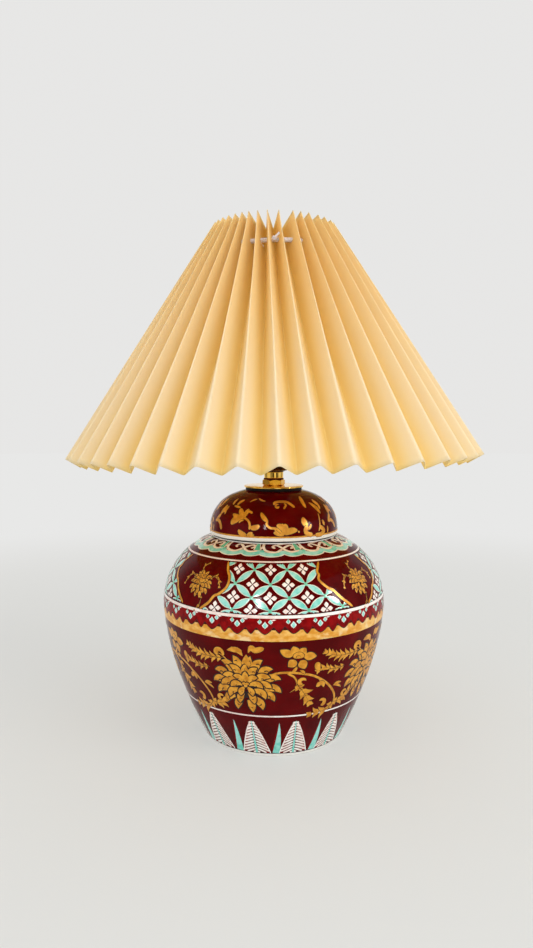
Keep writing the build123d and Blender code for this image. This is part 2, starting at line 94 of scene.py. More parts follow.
# %% [markdown]
# ## Materials as expressions
# Blender mixes a finish from nodes, which could be wired by hand in the shader editor. Long node lists are
# hard to read and to change, though. So one small class wraps what a socket gives and lets plain Python
# arithmetic add the Math nodes, and a second one holds a node tree and adds any other node.


# %% Signals and node trees
class Signal:
    """What one socket gives. Arithmetic on it adds Math nodes."""

    def __init__(self, nodes, socket):
        self.nodes, self.socket = nodes, socket

    def math(self, operation, *values):
        return self.nodes.node("Math", {"operation": operation}, dict(enumerate(values)))

    def __add__(self, other):
        return self.math("ADD", self, other)

    def __sub__(self, other):
        return self.math("SUBTRACT", self, other)

    def __rsub__(self, other):
        return self.math("SUBTRACT", other, self)

    def __mul__(self, other):
        return self.math("MULTIPLY", self, other)

    def __pow__(self, other):
        return self.math("POWER", self, other)

    __radd__, __rmul__ = __add__, __mul__

    def ramp(self, low, high):
        """0 up to low, 1 from high, and smooth between them."""
        inputs = {"Value": self, "From Min": low, "From Max": high}
        return self.nodes.node("MapRange", {"interpolation_type": "SMOOTHSTEP"}, inputs)


class Nodes:
    """A node tree, of a material or of the world."""

    def __init__(self, tree):
        self.tree = tree

    def feed(self, node, inputs):
        """Sets a node's inputs, each to a value or a signal."""
        for key, value in inputs.items():
            if isinstance(value, Signal):
                self.tree.links.new(value.socket, node.inputs[key])
            else:
                node.inputs[key].default_value = value

    def node(self, kind, settings, inputs, output=0):
        """Any node, by its type, its settings, and the values or signals of its inputs."""
        node = self.tree.nodes.new("ShaderNode" + kind)
        for key, value in settings.items():
            setattr(node, key, value)
        self.feed(node, inputs)
        return Signal(self, node.outputs[output])

    def parts(self, vector):
        """X, Y and Z of a vector."""
        return [self.node("SeparateXYZ", {}, {0: vector}, axis) for axis in range(3)]

    def steps(self, value, stops):
        """Level that runs straight from stop to stop, each given as a value from 0 to 1 and its level."""
        level = self.node("ValToRGB", {}, {"Fac": value})
        ramp = level.socket.node.color_ramp
        for _ in stops[2:]:
            ramp.elements.new(1.0)
        for element, (position, strength) in zip(ramp.elements, stops):
            element.position, element.color = position, (strength, strength, strength, 1)
        return level


print("helpers of a node tree:", [name for name in vars(Nodes) if not name.startswith("_")])

# %% [markdown]
# ## Finishes
# Glaze, card and brass are all one kind of thing to a renderer: the Principled shader with other numbers. A
# texture could be painted for each, but patterns worked out from a point's own place have no seams and stay
# sharp close up. So a finish is that shader, with noise in millimetres to vary its colour, its gloss and its
# relief.


# %% Colours and finishes
def colour(red, green, blue):
    """Linear colour from the 0 to 255 numbers that a screen shows."""
    shown = np.array([red, green, blue]) / 255
    linear = np.where(shown <= 0.04045, shown / 12.92, ((shown + 0.055) / 1.055) ** 2.4)
    return (*linear.tolist(), 1.0)


class Finish(Nodes):
    """A material, by its Principled shader and what feeds it."""

    def __init__(self, name, **constants):
        self.material = bpy.data.materials.new(name)
        self.material.use_nodes = True
        super().__init__(self.material.node_tree)
        self.shader = self.tree.nodes["Principled BSDF"]
        self.set(**constants)

    def set(self, **inputs):
        self.feed(self.shader, {key.replace("_", " "): value for key, value in inputs.items()})

    def place(self):
        return self.node("TexCoord", {}, {}, "Object")

    def mark(self):
        """The value that a mesh holds for each of its points."""
        return self.node("Attribute", {"attribute_name": "mark"}, {}, "Fac")

    def noise_at(self, place, size, detail):
        """Cloudy noise from 0 to 1 whose blots are about size millimetres wide."""
        inputs = {"Vector": place, "Scale": 1 / (size * MM), "Detail": detail}
        return self.node("TexNoise", {}, inputs, "Fac")

    def noise(self, size, detail=2.0, squeeze=(1, 1, 1)):
        """The same at a point's own place, with its blots squeezed along each axis."""
        place = self.node("Mapping", {}, {"Vector": self.place(), "Scale": squeeze})
        return self.noise_at(place, size, detail)

    def mix(self, share, first, second):
        return self.node("Mix", {"data_type": "RGBA"}, {0: share, 6: first, 7: second}, 2)

    def bump(self, height, depth, strength=1.0):
        """Relief of a signal from 0 to 1, depth millimetres deep."""
        return self.node("Bump", {}, {"Height": height, "Distance": depth * MM, "Strength": strength})

    def blend(self, share, other):
        """Gives another shader a share of the surface."""
        own = Signal(self, self.shader.outputs[0])
        both = self.node("MixShader", {}, {0: share, 1: own, 2: other})
        self.feed(self.tree.nodes["Material Output"], {"Surface": both})


print("middle grey in linear light:", round(colour(128, 128, 128)[0], 3))

# %% [markdown]
# ## Surfaces as grids
# Most of the lamp is turned or drawn, so its shapes are functions of two parameters. They could be built
# face by face, but it is quicker to work out each one as a whole array of points and to let one helper join
# neighbours into quads. A grid can close on itself either way, and its points can be welded where they meet
# at a pole.


# %% Grids to meshes
def grid_quads(rows, columns, close_rows, close_columns):
    """Quads of a grid: each point with the next one up, the next one across, and the one between."""
    row = np.arange(rows if close_rows else rows - 1)[:, None]
    column = np.arange(columns if close_columns else columns - 1)[None, :]
    after_row, after_column = (row + 1) % rows, (column + 1) % columns
    corners = [(row, column), (row, after_column), (after_row, after_column), (after_row, column)]
    return np.stack([(r * columns + c).ravel() for r, c in corners], axis=-1)


def mesh_of(name, points, quads):
    """Smooth mesh of points in millimetres and quads."""
    mesh = bpy.data.meshes.new(name)
    mesh.vertices.add(len(points))
    mesh.vertices.foreach_set("co", (points * MM).astype(np.float32).ravel())
    mesh.loops.add(quads.size)
    mesh.loops.foreach_set("vertex_index", quads.astype(np.int32).ravel())
    mesh.polygons.add(len(quads))
    mesh.polygons.foreach_set("loop_start", np.arange(0, quads.size, 4, dtype=np.int32))
    mesh.update(calc_edges=True)
    mesh.polygons.foreach_set("use_smooth", np.ones(len(quads), bool))
    return mesh


def weld_poles(mesh):
    """Joins the points that lie in the same place."""
    shape = bmesh.new()
    shape.from_mesh(mesh)
    bmesh.ops.remove_doubles(shape, verts=shape.verts, dist=1e-6)
    shape.to_mesh(mesh)
    shape.free()


def add_piece(
    name, grids, finish, body, close_rows=False, close_columns=False, marks=None, keep=None, weld=False
):
    """One piece from grids, riding on a body. marks holds a value for each point, and keep tells by a quad's
    middle whether it stays."""
    points, quads, start = [], [], 0
    for grid in grids:
        rows, columns = grid.shape[:2]
        faces = grid_quads(rows, columns, close_rows, close_columns)
        places = grid.reshape(-1, 3)
        if keep is not None:
            faces = faces[keep(places[faces].mean(axis=1))]
        points.append(places)
        quads.append(faces + start)
        start += rows * columns
    mesh = mesh_of(name, np.concatenate(points), np.concatenate(quads))
    if marks is not None:
        mark = mesh.attributes.new("mark", "FLOAT", "POINT")
        mark.data.foreach_set("value", np.concatenate([np.ravel(m) for m in marks]).astype(np.float32))
    mesh.materials.append(finish.material)
    mesh.validate()
    if weld:
        weld_poles(mesh)
    piece = bpy.data.objects.new(name, mesh)
    bpy.context.scene.collection.objects.link(piece)
    if body:
        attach(piece, body)
    return piece


print("quads of a 4 by 3 grid that closes both ways:", len(grid_quads(4, 3, True, True)))

# %% [markdown]
# ## Turned shapes
# Jar, lid and brass were all turned on a wheel or a lathe. A curve swept by Blender's screw modifier would do
# for them, but an outline's points at every angle are one more grid, and can be cut, marked and bent like any
# other. Where an outline's corner is worn or cast round, a parabola between two points beside it stands in.


# %% Turned shapes and rounded corners
def round_axis(radius, angle, height):
    """Points at a distance from the axis, at an angle from the front towards +X, and at a height."""
    radius, angle, height = np.broadcast_arrays(radius, angle, height)
    return np.stack([radius * np.sin(angle), -radius * np.cos(angle), height], axis=-1)


def turn(outline, steps=256):
    """Outline of (radius, height) carried round the axis, one row for each angle."""
    angle = np.linspace(0, 2 * np.pi, steps, endpoint=False)[:, None]
    radius, height = np.asarray(outline, float).T
    return round_axis(radius, angle, height)


def add_skin(name, outline, finish, steps=256, **settings):
    """Turned piece whose outline rises outside. One row for each outline point turns its faces outwards."""
    grid = turn(outline, steps).transpose(1, 0, 2)
    return add_piece(name, [grid], finish, "stand", close_columns=True, **settings)


def rounded_outline(corners, radius, steps=4, closed=True):
    """Outline with rounded corners: each is a parabola between a point before the corner and one after."""
    corners = np.asarray(corners, float)
    before, after = np.roll(corners, 1, axis=0), np.roll(corners, -1, axis=0)
    radius = np.broadcast_to(np.asarray(radius, float), len(corners))
    share = np.linspace(0, 1, steps + 1)[:, None]
    points = []
    for i, corner in enumerate(corners):
        ends = []
        for other in (before[i], after[i]):
            length = np.hypot(*(other - corner))
            ends.append(corner + (other - corner) * min(radius[i] / max(length, 1e-9), 0.49))
        if radius[i] == 0 or (not closed and i in (0, len(corners) - 1)):
            points.append(corner[None])
        else:
            points.append(ends[0] * (1 - share) ** 2 + 2 * corner * share * (1 - share) + ends[1] * share**2)
    return np.concatenate(points)


print("points of a square with rounded corners:", len(rounded_outline([(0, 0), (1, 0), (1, 1), (0, 1)], 0.2)))

# %% [markdown]
# ## Room light
# The photograph is a bright room with a pale wall, so the light is soft and even. A picture of a room could
# light the scene, but an even world with a strip of bright and dark directions is plainer to read. Only
# gloss sees that strip: the room in front of the jar is darker than the wall behind it, which keeps the red
# glaze deep in the middle and pale at its sides.

# %% World
world = bpy.data.worlds.new("room")
world.use_nodes = True
bpy.context.scene.world = world
room = Nodes(world.node_tree)
degrees_and_levels = [
    (-180, 0.9), (-134, 0.95), (-118, 0.3), (-94, 0.3), (-78, 0.85), (-48, 0.85), (-36, 0.35), (-14, 0.3),
    (-8, 0.03), (2, 0.03), (8, 1.0), (24, 1.0), (30, 0.04), (40, 0.06), (52, 0.35), (66, 0.85), (88, 0.85),
    (98, 0.4), (114, 0.45), (132, 0.9), (180, 0.9),
]
room_brightness = 0.80


def room_level(nodes, place):
    """Brightness of the mirrored room in the direction of a place, by its angle from the front."""
    x, y, _ = nodes.parts(place)
    azimuth = x.math("ARCTAN2", x, y * -1.0) * (0.5 / np.pi) + 0.5  # 0.5 is straight to the front
    return nodes.steps(azimuth, [(degrees / 360 + 0.5, level) for degrees, level in degrees_and_levels])


mirrored_room = room_level(room, room.node("TexCoord", {}, {}, "Generated"))
in_gloss = room.node("LightPath", {}, {}, "Is Glossy Ray")
strength = room.node("Mix", {}, {0: in_gloss, 2: room_brightness, 3: mirrored_room})
room.feed(room.tree.nodes["Background"], {"Color": (1.0, 0.995, 0.985, 1), "Strength": strength})
print("directions of the mirrored room:", len(degrees_and_levels))

# %% [markdown]
# ## Lamps
# Three large soft lamps give the light a side, so that the pleats get their shadows. One lamp could do both
# jobs, but a large lamp mirrored in the glaze would be a wide white patch. So these three don't show in
# gloss, and two narrow windows that light nothing else give the small sharp glints.


# %% Lamps and windows
def add_lamp(name, place, target, width, height, power, tint=(1, 1, 1), only_glints=False):
    """Soft rectangular lamp aimed at a point, both in metres."""
    data = bpy.data.lights.new(name, "AREA")
    data.shape, data.size, data.size_y = "RECTANGLE", width, height
    data.energy, data.color = power, tint
    lamp = bpy.data.objects.new(name, data)
    lamp.location = place
    away = np.array(place) - np.array(target)
    lamp.rotation_euler = (np.arctan2(np.hypot(away[0], away[1]), away[2]), 0, np.arctan2(away[0], -away[1]))
    lamp.visible_camera = False
    lamp.visible_diffuse = not only_glints
    lamp.visible_glossy = only_glints
    bpy.context.scene.collection.objects.link(lamp)


lamp_middle = (0, 0, 0.25)
add_lamp("key", (1.6, -1.2, 1.3), lamp_middle, 1.6, 1.6, 20.0, (1.0, 0.985, 0.96))
add_lamp("fill", (-1.7, -1.3, 0.9), lamp_middle, 1.8, 1.8, 9.0, (0.97, 0.985, 1.0))
add_lamp("front", (0.3, -2.3, 0.9), lamp_middle, 1.4, 1.4, 7.0)
add_lamp("window_left", (-0.66, -2.30, 1.05), lamp_middle, 0.16, 0.75, 22.0, only_glints=True)
add_lamp("window_right", (2.20, -0.95, 1.00), lamp_middle, 0.30, 0.80, 27.0, only_glints=True)
print("lamps:", [light.name for light in bpy.data.lights])

# %% [markdown]
# ## Floor
# The lamp stands on a pale floor that runs into a pale wall without an edge. A curved backdrop would do that
# from one side only. A wide round floor that turns into an even glow far away does it from all sides, and
# keeps the lamp's shadow, because near the lamp half of its brightness is real light. Near the lamp the glow
# is also a little darker than far away, which is painted shade.

# %% Pale floor
floor_radius, glow_starts, glow_ends = 6000.0, 400.0, 1300.0
pale_floor = Finish("pale_floor", Base_Color=colour(226, 229, 229), Roughness=0.9, Specular_IOR_Level=0.05)


def let_floor_glow():
    """Shows the camera and reflections a share of glow: half near the lamp, and all of it far away.
    Near the lamp the glow is darker, as painted shade.
    """
    place = pale_floor.place()
    x, y, _ = pale_floor.parts(place)
    away = ((x * x + y * y) ** 0.5).ramp(glow_starts * MM, glow_ends * MM)
    kinds = ("Is Camera Ray", "Is Glossy Ray", "Is Transmission Ray")
    by_camera, by_gloss, through_glass = [pale_floor.node("LightPath", {}, {}, kind) for kind in kinds]
    # painted shade: the glow colour is darker near the lamp than far away
    even = pale_floor.mix(away, colour(219, 217, 212), colour(232, 232, 231))
    mirrored = pale_floor.mix(room_level(pale_floor, place), colour(0, 0, 0), colour(255, 254, 251))
    glow = pale_floor.node("Emission", {}, {"Color": pale_floor.mix(by_gloss * away, even, mirrored)})
    pale_floor.blend((by_camera + by_gloss + through_glass) * (away * 0.5 + 0.5), glow)


let_floor_glow()
floor_reach = np.linspace(0, 1, 24)[::-1, None] ** 2 * floor_radius
floor_angle = np.linspace(0, 2 * np.pi, 64, endpoint=False)
floor_grid = round_axis(floor_reach, floor_angle, 0.0)
floor = add_piece("floor", [floor_grid], pale_floor, None, close_columns=True, weld=True)
print("floor faces:", len(floor.data.polygons))

# %% [markdown]
# ## Glaze, gold and enamels
# The ground is an oxblood glaze: almost black where it is thick and redder where it is thin, under a clear
# skin with a faint waviness. Gold, turquoise and white stand on it as thin raised enamels. They could all be
# colours in one material, but each has its own gloss, so each is a finish of its own.

# %% Glaze and gold
glaze = Finish("red_glaze", Specular_IOR_Level=0.07)
glaze_thickness = glaze.noise(26, 3.0).ramp(0.35, 0.72)
glaze.set(
    Base_Color=glaze.mix(glaze_thickness, colour(74, 1, 2), colour(94, 2, 3)),
    Roughness=glaze.noise(9) * 0.05 + 0.05,
    Normal=glaze.bump(glaze.noise(7, 1.0), 0.05, 0.6),
)

bright_red = Finish("bright_red", Roughness=0.12, Specular_IOR_Level=0.07)
red_blots = bright_red.noise(5).ramp(0.3, 0.7)
bright_red.set(Base_Color=bright_red.mix(red_blots, colour(104, 2, 4), colour(140, 10, 12)))

outline_black = Finish("outline_black", Roughness=0.3, Specular_IOR_Level=0.3)
outline_black.set(Base_Color=outline_black.mix(outline_black.noise(3), colour(14, 4, 5), colour(38, 8, 8)))

gold = Finish("gold", Metallic=0.3, Specular_IOR_Level=0.5)
worn = gold.noise(4.5, 4.0).ramp(0.3, 0.7)
gold.set(
    Base_Color=gold.mix(worn, colour(192, 122, 8), colour(230, 164, 48)),
    Roughness=gold.noise(2.0) * 0.2 + 0.24,
    Normal=gold.bump(gold.noise(1.1, 3.0), 0.04),
)

mottled_gold = Finish("mottled_gold", Metallic=0.1)
cloud = mottled_gold.noise(7.0, 4.0, (1, 1, 1.9)).ramp(0.38, 0.66)
# painted highlights: pale streaks in the gold band's own colour
pale_highlights = mottled_gold.noise(11.0, 6.0, (1, 1, 1.5)).ramp(0.55, 0.68)
clouded_gold = mottled_gold.mix(cloud, colour(214, 142, 20), colour(236, 184, 92))
mottled_gold.set(
    Base_Color=mottled_gold.mix(pale_highlights * 0.75, clouded_gold, colour(240, 212, 158)),
    Roughness=mottled_gold.noise(3.0) * 0.2 + 0.22,
    Normal=mottled_gold.bump(mottled_gold.noise(1.6, 3.0), 0.05),
)
print("nodes of the glaze:", len(glaze.tree.nodes), "of the mottled gold:", len(mottled_gold.tree.nodes))


# %% Enamels and bare porcelain
def enamel(name, thin, pooled, size, roughness=0.16):
    """Raised enamel that is paler where it is thin and deeper where it pools, marked 1 at the pooled end."""
    finish = Finish(name, Coat_Roughness=0.05, Coat_Weight=0.5)
    pool = (finish.noise(size, 3.0).ramp(0.35, 0.75) * 0.55 + finish.mark() * 0.5).ramp(0.1, 1.0)
    finish.set(
        Base_Color=finish.mix(pool, thin, pooled),
        Roughness=finish.noise(2.5) * 0.12 + roughness,
        Normal=finish.bump(finish.noise(1.8, 2.0), 0.06),
    )
    return finish


paints = {
    "gold": gold,
    "black": outline_black,
    "turquoise": enamel("turquoise_enamel", colour(158, 222, 212), colour(84, 198, 178), 5.0),
    "green": enamel("green_enamel", colour(120, 204, 172), colour(36, 170, 126), 4.0),
    "white": enamel("white_enamel", colour(247, 241, 234), colour(232, 206, 196), 6.0, 0.2),
    "cream": enamel("cream_enamel", colour(245, 230, 212), colour(228, 196, 172), 4.0, 0.2),
    "red": bright_red,
    "band": mottled_gold,
}

porcelain = Finish("white_porcelain", Coat_Weight=0.4, Coat_Roughness=0.1)
specks = porcelain.noise(2.2, 4.0).ramp(0.62, 0.75)
porcelain.set(
    Base_Color=porcelain.mix(specks, colour(238, 235, 228), colour(214, 206, 194)),
    Roughness=porcelain.noise(4.0) * 0.2 + 0.25,
    Normal=porcelain.bump(porcelain.noise(3.0), 0.05),
)
print("paints:", list(paints))

# %% [markdown]
# ## Outlines of jar and lid
# Both were thrown on a wheel, so each is an outline turned about the axis. It could be a spline through
# measured points, but a few formulas give a cleaner curve and are the CAD's own: a power curve below the
# belly, an arc for the shoulder, and a superellipse for the lid.

# %% Outlines
foot_radius, belly_radius, belly_height, belly_fullness = 61.1, 97.5, 118.0, 1.63
shoulder_radius, seat_radius, neck_radius, jar_wall = 60.0, 54.5, 48.5, 5.0
lid_radius, lid_height, lid_fullness, crown_radius = 56.6, 39.8, 2.55, 24.8
lid_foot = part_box("jar_lid")[0].z / MM
shoulder_centre = belly_radius - shoulder_radius


def belly_curve(height, wall=0.0):
    """Radius that grows with a power of the height, less the wall measured square to the slope."""
    left = np.clip(1 - height / belly_height, 0, 1)
    slope = (belly_radius - foot_radius) * belly_fullness / belly_height * left ** (belly_fullness - 1)
    return belly_radius - (belly_radius - foot_radius) * left**belly_fullness - wall * np.sqrt(1 + slope**2)


def shoulder_arc(end_radius, wall=0.0, steps=70):
    """Arc of a circle from the belly in to a radius."""
    radius = shoulder_radius - wall
    sweep = np.linspace(0, np.arccos((end_radius - shoulder_centre) / radius), steps)
    across, up = shoulder_centre + radius * np.cos(sweep), belly_height + radius * np.sin(sweep)
    return np.stack([across, up], axis=-1)


def lid_curve(rim, rise, steps=70):
    """Superellipse from the rim in to the flat crown, spaced by its angle."""
    sweep = np.linspace(0, np.arccos((crown_radius / rim) ** (lid_fullness / 2)), steps)
    power = 2 / lid_fullness
    return np.stack([rim * np.cos(sweep) ** power, lid_foot + rise * np.sin(sweep) ** power], axis=-1)


rising = np.linspace(0, belly_height, 180)
belly_outline = np.stack([belly_curve(rising), rising], axis=-1)
jar_outline = np.concatenate([belly_outline, shoulder_arc(seat_radius)[1:]])
lid_outline = lid_curve(lid_radius, lid_height)
print("jar and lid across:", [round(line[:, 0].max() * 2, 1) for line in (jar_outline, lid_outline)], "mm")

# %% [markdown]
# ## Places on a turned form
# The painting needs places on the glaze. A picture could be wrapped on with a UV map, but strokes stand up
# from the surface, so each place is an angle round the form and a way up its outline, with a lift square to
# it. The same class turns a pixel of the photograph into such a place.


# %% Turned forms
class Turned:
    """Outside of a turned form. A point on it is an angle from the front and a way up the outline in mm."""

    def __init__(self, outline):
        self.radius, self.height = np.asarray(outline, float).T
        steps = np.hypot(np.diff(self.radius), np.diff(self.height))
        self.way = np.concatenate([[0], np.cumsum(steps)])
        self.out = np.gradient(self.height, self.way), -np.gradient(self.radius, self.way)

    def outline(self, way, lift=0.0):
        """Radius and height at a way up the outline, lifted square to it."""
        radius = np.interp(way, self.way, self.radius) + lift * np.interp(way, self.way, self.out[0])
        height = np.interp(way, self.way, self.height) + lift * np.interp(way, self.way, self.out[1])
        return radius, height

    def at(self, angle, way, lift=0.0):
        """Points at angles and ways, lifted square to the surface."""
        radius, height = self.outline(way, lift)
        return round_axis(radius, angle, height)

    def way_at_height(self, height):
        return np.interp(height, self.height, self.way)

    def seen(self, x, y):
        """Angle and way at pixels: halve the stretch of each ray in which it enters the form."""
        ray = photo_rays(x, y)
        flat = ray[..., :2]
        inside = -(flat @ eye[:2]) / (flat**2).sum(-1)  # where the ray comes nearest to the axis
        outside = inside - 130
        for _ in range(40):
            halfway = (outside + inside) / 2
            point = eye + ray * halfway[..., None]
            radius_there = np.interp(point[..., 2], self.height, self.radius)
            is_out = np.hypot(point[..., 0], point[..., 1]) > radius_there
            outside, inside = np.where(is_out, halfway, outside), np.where(is_out, inside, halfway)
        return np.arctan2(point[..., 0], -point[..., 1]), self.way_at_height(point[..., 2])


jar = Turned(jar_outline)
lid = Turned(lid_outline)
print("way up the jar:", round(jar.way[-1], 1), "mm; up the lid:", round(lid.way[-1], 1), "mm")

# %% [markdown]
# ## Skins of the jar
# The jar is glazed outside and bare on its foot ring, on the seat for the lid and inside. One skin with a
# mask could show both. Two skins that meet at the edge of the glaze are simpler, and give that edge as sharp
# as it is. The hole for the cord's bush, low in the back, is left open by dropping the quads in it.

# %% Jar
foot_line = 3.2  # where the glaze stops above the white foot ring
seat_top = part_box("lid_gasket")[0].z / MM
foot_inner, floor_low, floor_top, tube_hole = foot_radius - 7.0, 9.5, 15.5, 5.5
neck_bore, neck_top = neck_radius - 4.0, seat_top + 11.0
inlet_height, inlet_radius = 24.0, 6.0
inlet_middle = np.array([0, belly_curve(inlet_height), inlet_height])
inlet_slope = belly_curve(inlet_height + 0.5) - belly_curve(inlet_height - 0.5)
inlet_axis = np.array([0, 1, -inlet_slope]) / np.hypot(1, inlet_slope)


def clear_of_inlet(points):
    """False in the hole for the cord's bush: nearer to the hole's axis than its radius, and at the back."""
    offset = points - inlet_middle
    along = offset @ inlet_axis
    across = np.sqrt(np.maximum((offset**2).sum(-1) - along**2, 0))
    return (across > inlet_radius) | (points[:, 1] < 0)


glaze_edge = (belly_curve(foot_line), foot_line)
glazed = np.concatenate([[glaze_edge], jar_outline[jar_outline[:, 1] > foot_line]])
inside_arc = shoulder_arc(neck_bore, jar_wall)[::-1]
falling = np.linspace(belly_height, floor_top, 60)
inside_belly = np.stack([belly_curve(falling, jar_wall), falling], axis=-1)
neck_corners = [
    (seat_radius, jar_outline[-1, 1]), (seat_radius, seat_top), (neck_radius, seat_top),
    (neck_radius, neck_top), (neck_bore, neck_top), inside_arc[0],
]
foot_corners = [
    (tube_hole, floor_top), (tube_hole, floor_low), (foot_inner, floor_low), (foot_inner, 0),
    (foot_radius, 0), glaze_edge,
]
neck = rounded_outline(neck_corners, [0, 0.4, 0.5, 1.5, 1.5, 0], closed=False)
under_foot = rounded_outline(foot_corners, [0, 0.5, 2.5, 1.2, 1.0, 0], closed=False)
bare = np.concatenate([neck, inside_arc[1:], inside_belly[1:], under_foot])
jar_glaze = add_skin("jar_glaze", glazed, glaze, 384, keep=clear_of_inlet)
jar_bare = add_skin("jar_bare", bare, porcelain, keep=clear_of_inlet)
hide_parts("jar_body")
print("jar faces, glazed and bare:", len(jar_glaze.data.polygons), len(jar_bare.data.polygons))

# %% [markdown]
# ## Skins of the lid
# The lid is made the same way: glazed above a white rim three millimetres high, and bare below and inside,
# with a small round on the rim's outer edge.

# %% Lid
lid_line, rim_line, lid_wall = 3.1, 0.8, 4.5  # heights of the white rim and of its edge, and the clay's wall
crown = lid_outline[-1, 1]
lid_way = np.linspace(lid.way_at_height(lid_foot + lid_line), lid.way[-1], 90)
rim_way = np.linspace(lid.way_at_height(lid_foot + rim_line), lid_way[0], 8)
lid_side, lid_rim = (np.stack(lid.outline(way), axis=-1) for way in (lid_way, rim_way))
lid_top = np.concatenate([lid_side, [(crown_radius - 1, crown), (tube_hole, crown)]])
lid_inside = lid_curve(lid_radius - lid_wall, lid_height - lid_wall)[::-1]
lid_bare = np.concatenate([
    [(tube_hole, crown), (tube_hole, lid_inside[0, 1])], lid_inside,
    [(lid_radius - 1.0, lid_foot), (lid_radius - 0.35, lid_foot + 0.2)], lid_rim,
])
lid_glaze = add_skin("lid_glaze", lid_top, glaze, 320)
lid_white = add_skin("lid_white", lid_bare, porcelain)
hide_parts("jar_lid")
print("faces of the lid:", len(lid_glaze.data.polygons) + len(lid_white.data.polygons))

# %% [markdown]
# ## A brush for the painting
# Every motif on the jar is made of brush strokes: a path with a width that swells and tapers. They could be
# drawn as Blender curves with a taper, but those lie flat. A stroke here is a strip square to its path, laid
# on the unrolled surface and then wrapped round the form. Its edges sink into the glaze and its middle
# stands up a few hundredths of a millimetre, so enamel catches the light as the real one does.


# %% Widths of a stroke, along its share from 0 to 1
def even(share):
    return np.ones_like(share)


def round_ended(share):
    """Even, with quickly rounded ends: the 12th power of the distance from the middle, taken off 1."""
    return np.sqrt(np.clip(1 - np.abs(2 * share - 1) ** 12, 0, 1))


def blob_shaped(share):
    """Half circle over the path."""
    return np.sqrt(np.clip(1 - (2 * share - 1) ** 2, 0, 1))


def leaf_shaped(share):
    """Half a sine wave, a little fuller."""
    return np.sin(np.pi * share) ** 0.8


def full_leaf(share):
    """Half a sine wave, much fuller."""
    return np.sin(np.pi * share) ** 0.5


def full_petal(share):
    """Half a sine wave, fuller and with its middle moved outwards."""
    return np.sin(np.pi * share**0.8) ** 0.75


def petal_shaped(share):
    """Grows nearly evenly and closes quickly, with its widest place two thirds of the way out."""
    return share**0.8 * (1 - share) ** 0.45 / 0.442


def pointed_petal(share):
    """Wide from a third of the way, and closing in a point."""
    return np.minimum(share * 3.2, 1) ** 0.7 * (1 - share**1.6) ** 0.9


def rhomb_shaped(share):
    """Straight out and straight back."""
    return np.minimum(share / 0.58, (1 - share) / 0.42)


def tapering(share):
    """Wide at once, then thinner and thinner."""
    return (1 - share) ** 0.6 * np.minimum(1, share * 12) ** 0.5


def spike_shaped(share):
    return 1 - share


print("middle width of a leaf and a petal:", round(leaf_shaped(0.5), 2), round(petal_shaped(0.5), 2))

# %% [markdown]
# ## Paths
# A painter's hand moves in smooth curves. Splines with handles would need two more points for each one, so a
# path is either a cubic that finds its own way through a few points, an arc between two, or a spiral.


# %% Paths
def curve(points, spacing=0.9):
    """Smooth path through points: each stretch is a cubic that leaves along the line from the point before it
    to the point after it."""
    points = np.asarray(points, float)
    padded = np.concatenate([[2 * points[0] - points[1]], points, [2 * points[-1] - points[-2]]])
    pieces = []
    for p0, p1, p2, p3 in zip(padded, padded[1:], padded[2:], padded[3:]):
        count = max(3, int(np.hypot(*(p2 - p1)) / spacing) + 1)
        t = np.linspace(0, 1, count, endpoint=False)[:, None]
        square, cube = 2 * p0 - 5 * p1 + 4 * p2 - p3, 3 * p1 - p0 - 3 * p2 + p3
        pieces.append((2 * p1 + (p2 - p0) * t + square * t**2 + cube * t**3) / 2)
    return np.concatenate([*pieces, points[-1:]])


def bent(start, end, bend=0.0, count=11):
    """Path between two points that bows sideways by a share of its length."""
    start, end = np.asarray(start, float), np.asarray(end, float)
    share = ((1 - np.cos(np.pi * np.linspace(0, 1, count))) / 2)[:, None]
    sideways = np.array([start[1] - end[1], end[0] - start[0]])
    return start + (end - start) * share + sideways * bend * 4 * share * (1 - share)


def direction(angle, squash=1.0):
    """Step of length 1 at an angle, flattened upwards by a share."""
    return np.array([np.cos(angle), np.sin(angle) * squash])


def curl(centre, radius, start, sweep, shrink=0.45, count=16):
    """Spiral: an arc whose radius shrinks as it turns."""
    share = np.linspace(0, 1, count)
    angle = start + sweep * share
    reach = radius * (1 - (1 - shrink) * share)
    return np.asarray(centre) + np.stack([reach * np.cos(angle), reach * np.sin(angle)], axis=-1)


print("points of a curve 20 mm long:", len(curve([(0, 0), (10, 2), (20, 0)])))

# %% [markdown]
# ## Painting on a turned form
# A painting collects strokes by their paint and then lays them all at once, as often as the pattern repeats,
# with one piece for each paint. Each coat lies a little higher than the last, so that strokes can cross
# without touching.

# %% Painting
brush_across = np.array([1, 0.72, 0, -0.72, -1])
brush_rise = np.array([0, 0.8, 1, 0.8, 0])
first_lift, level_step = 0.03, 0.07  # height of the first coat of paint, and of each further one above it


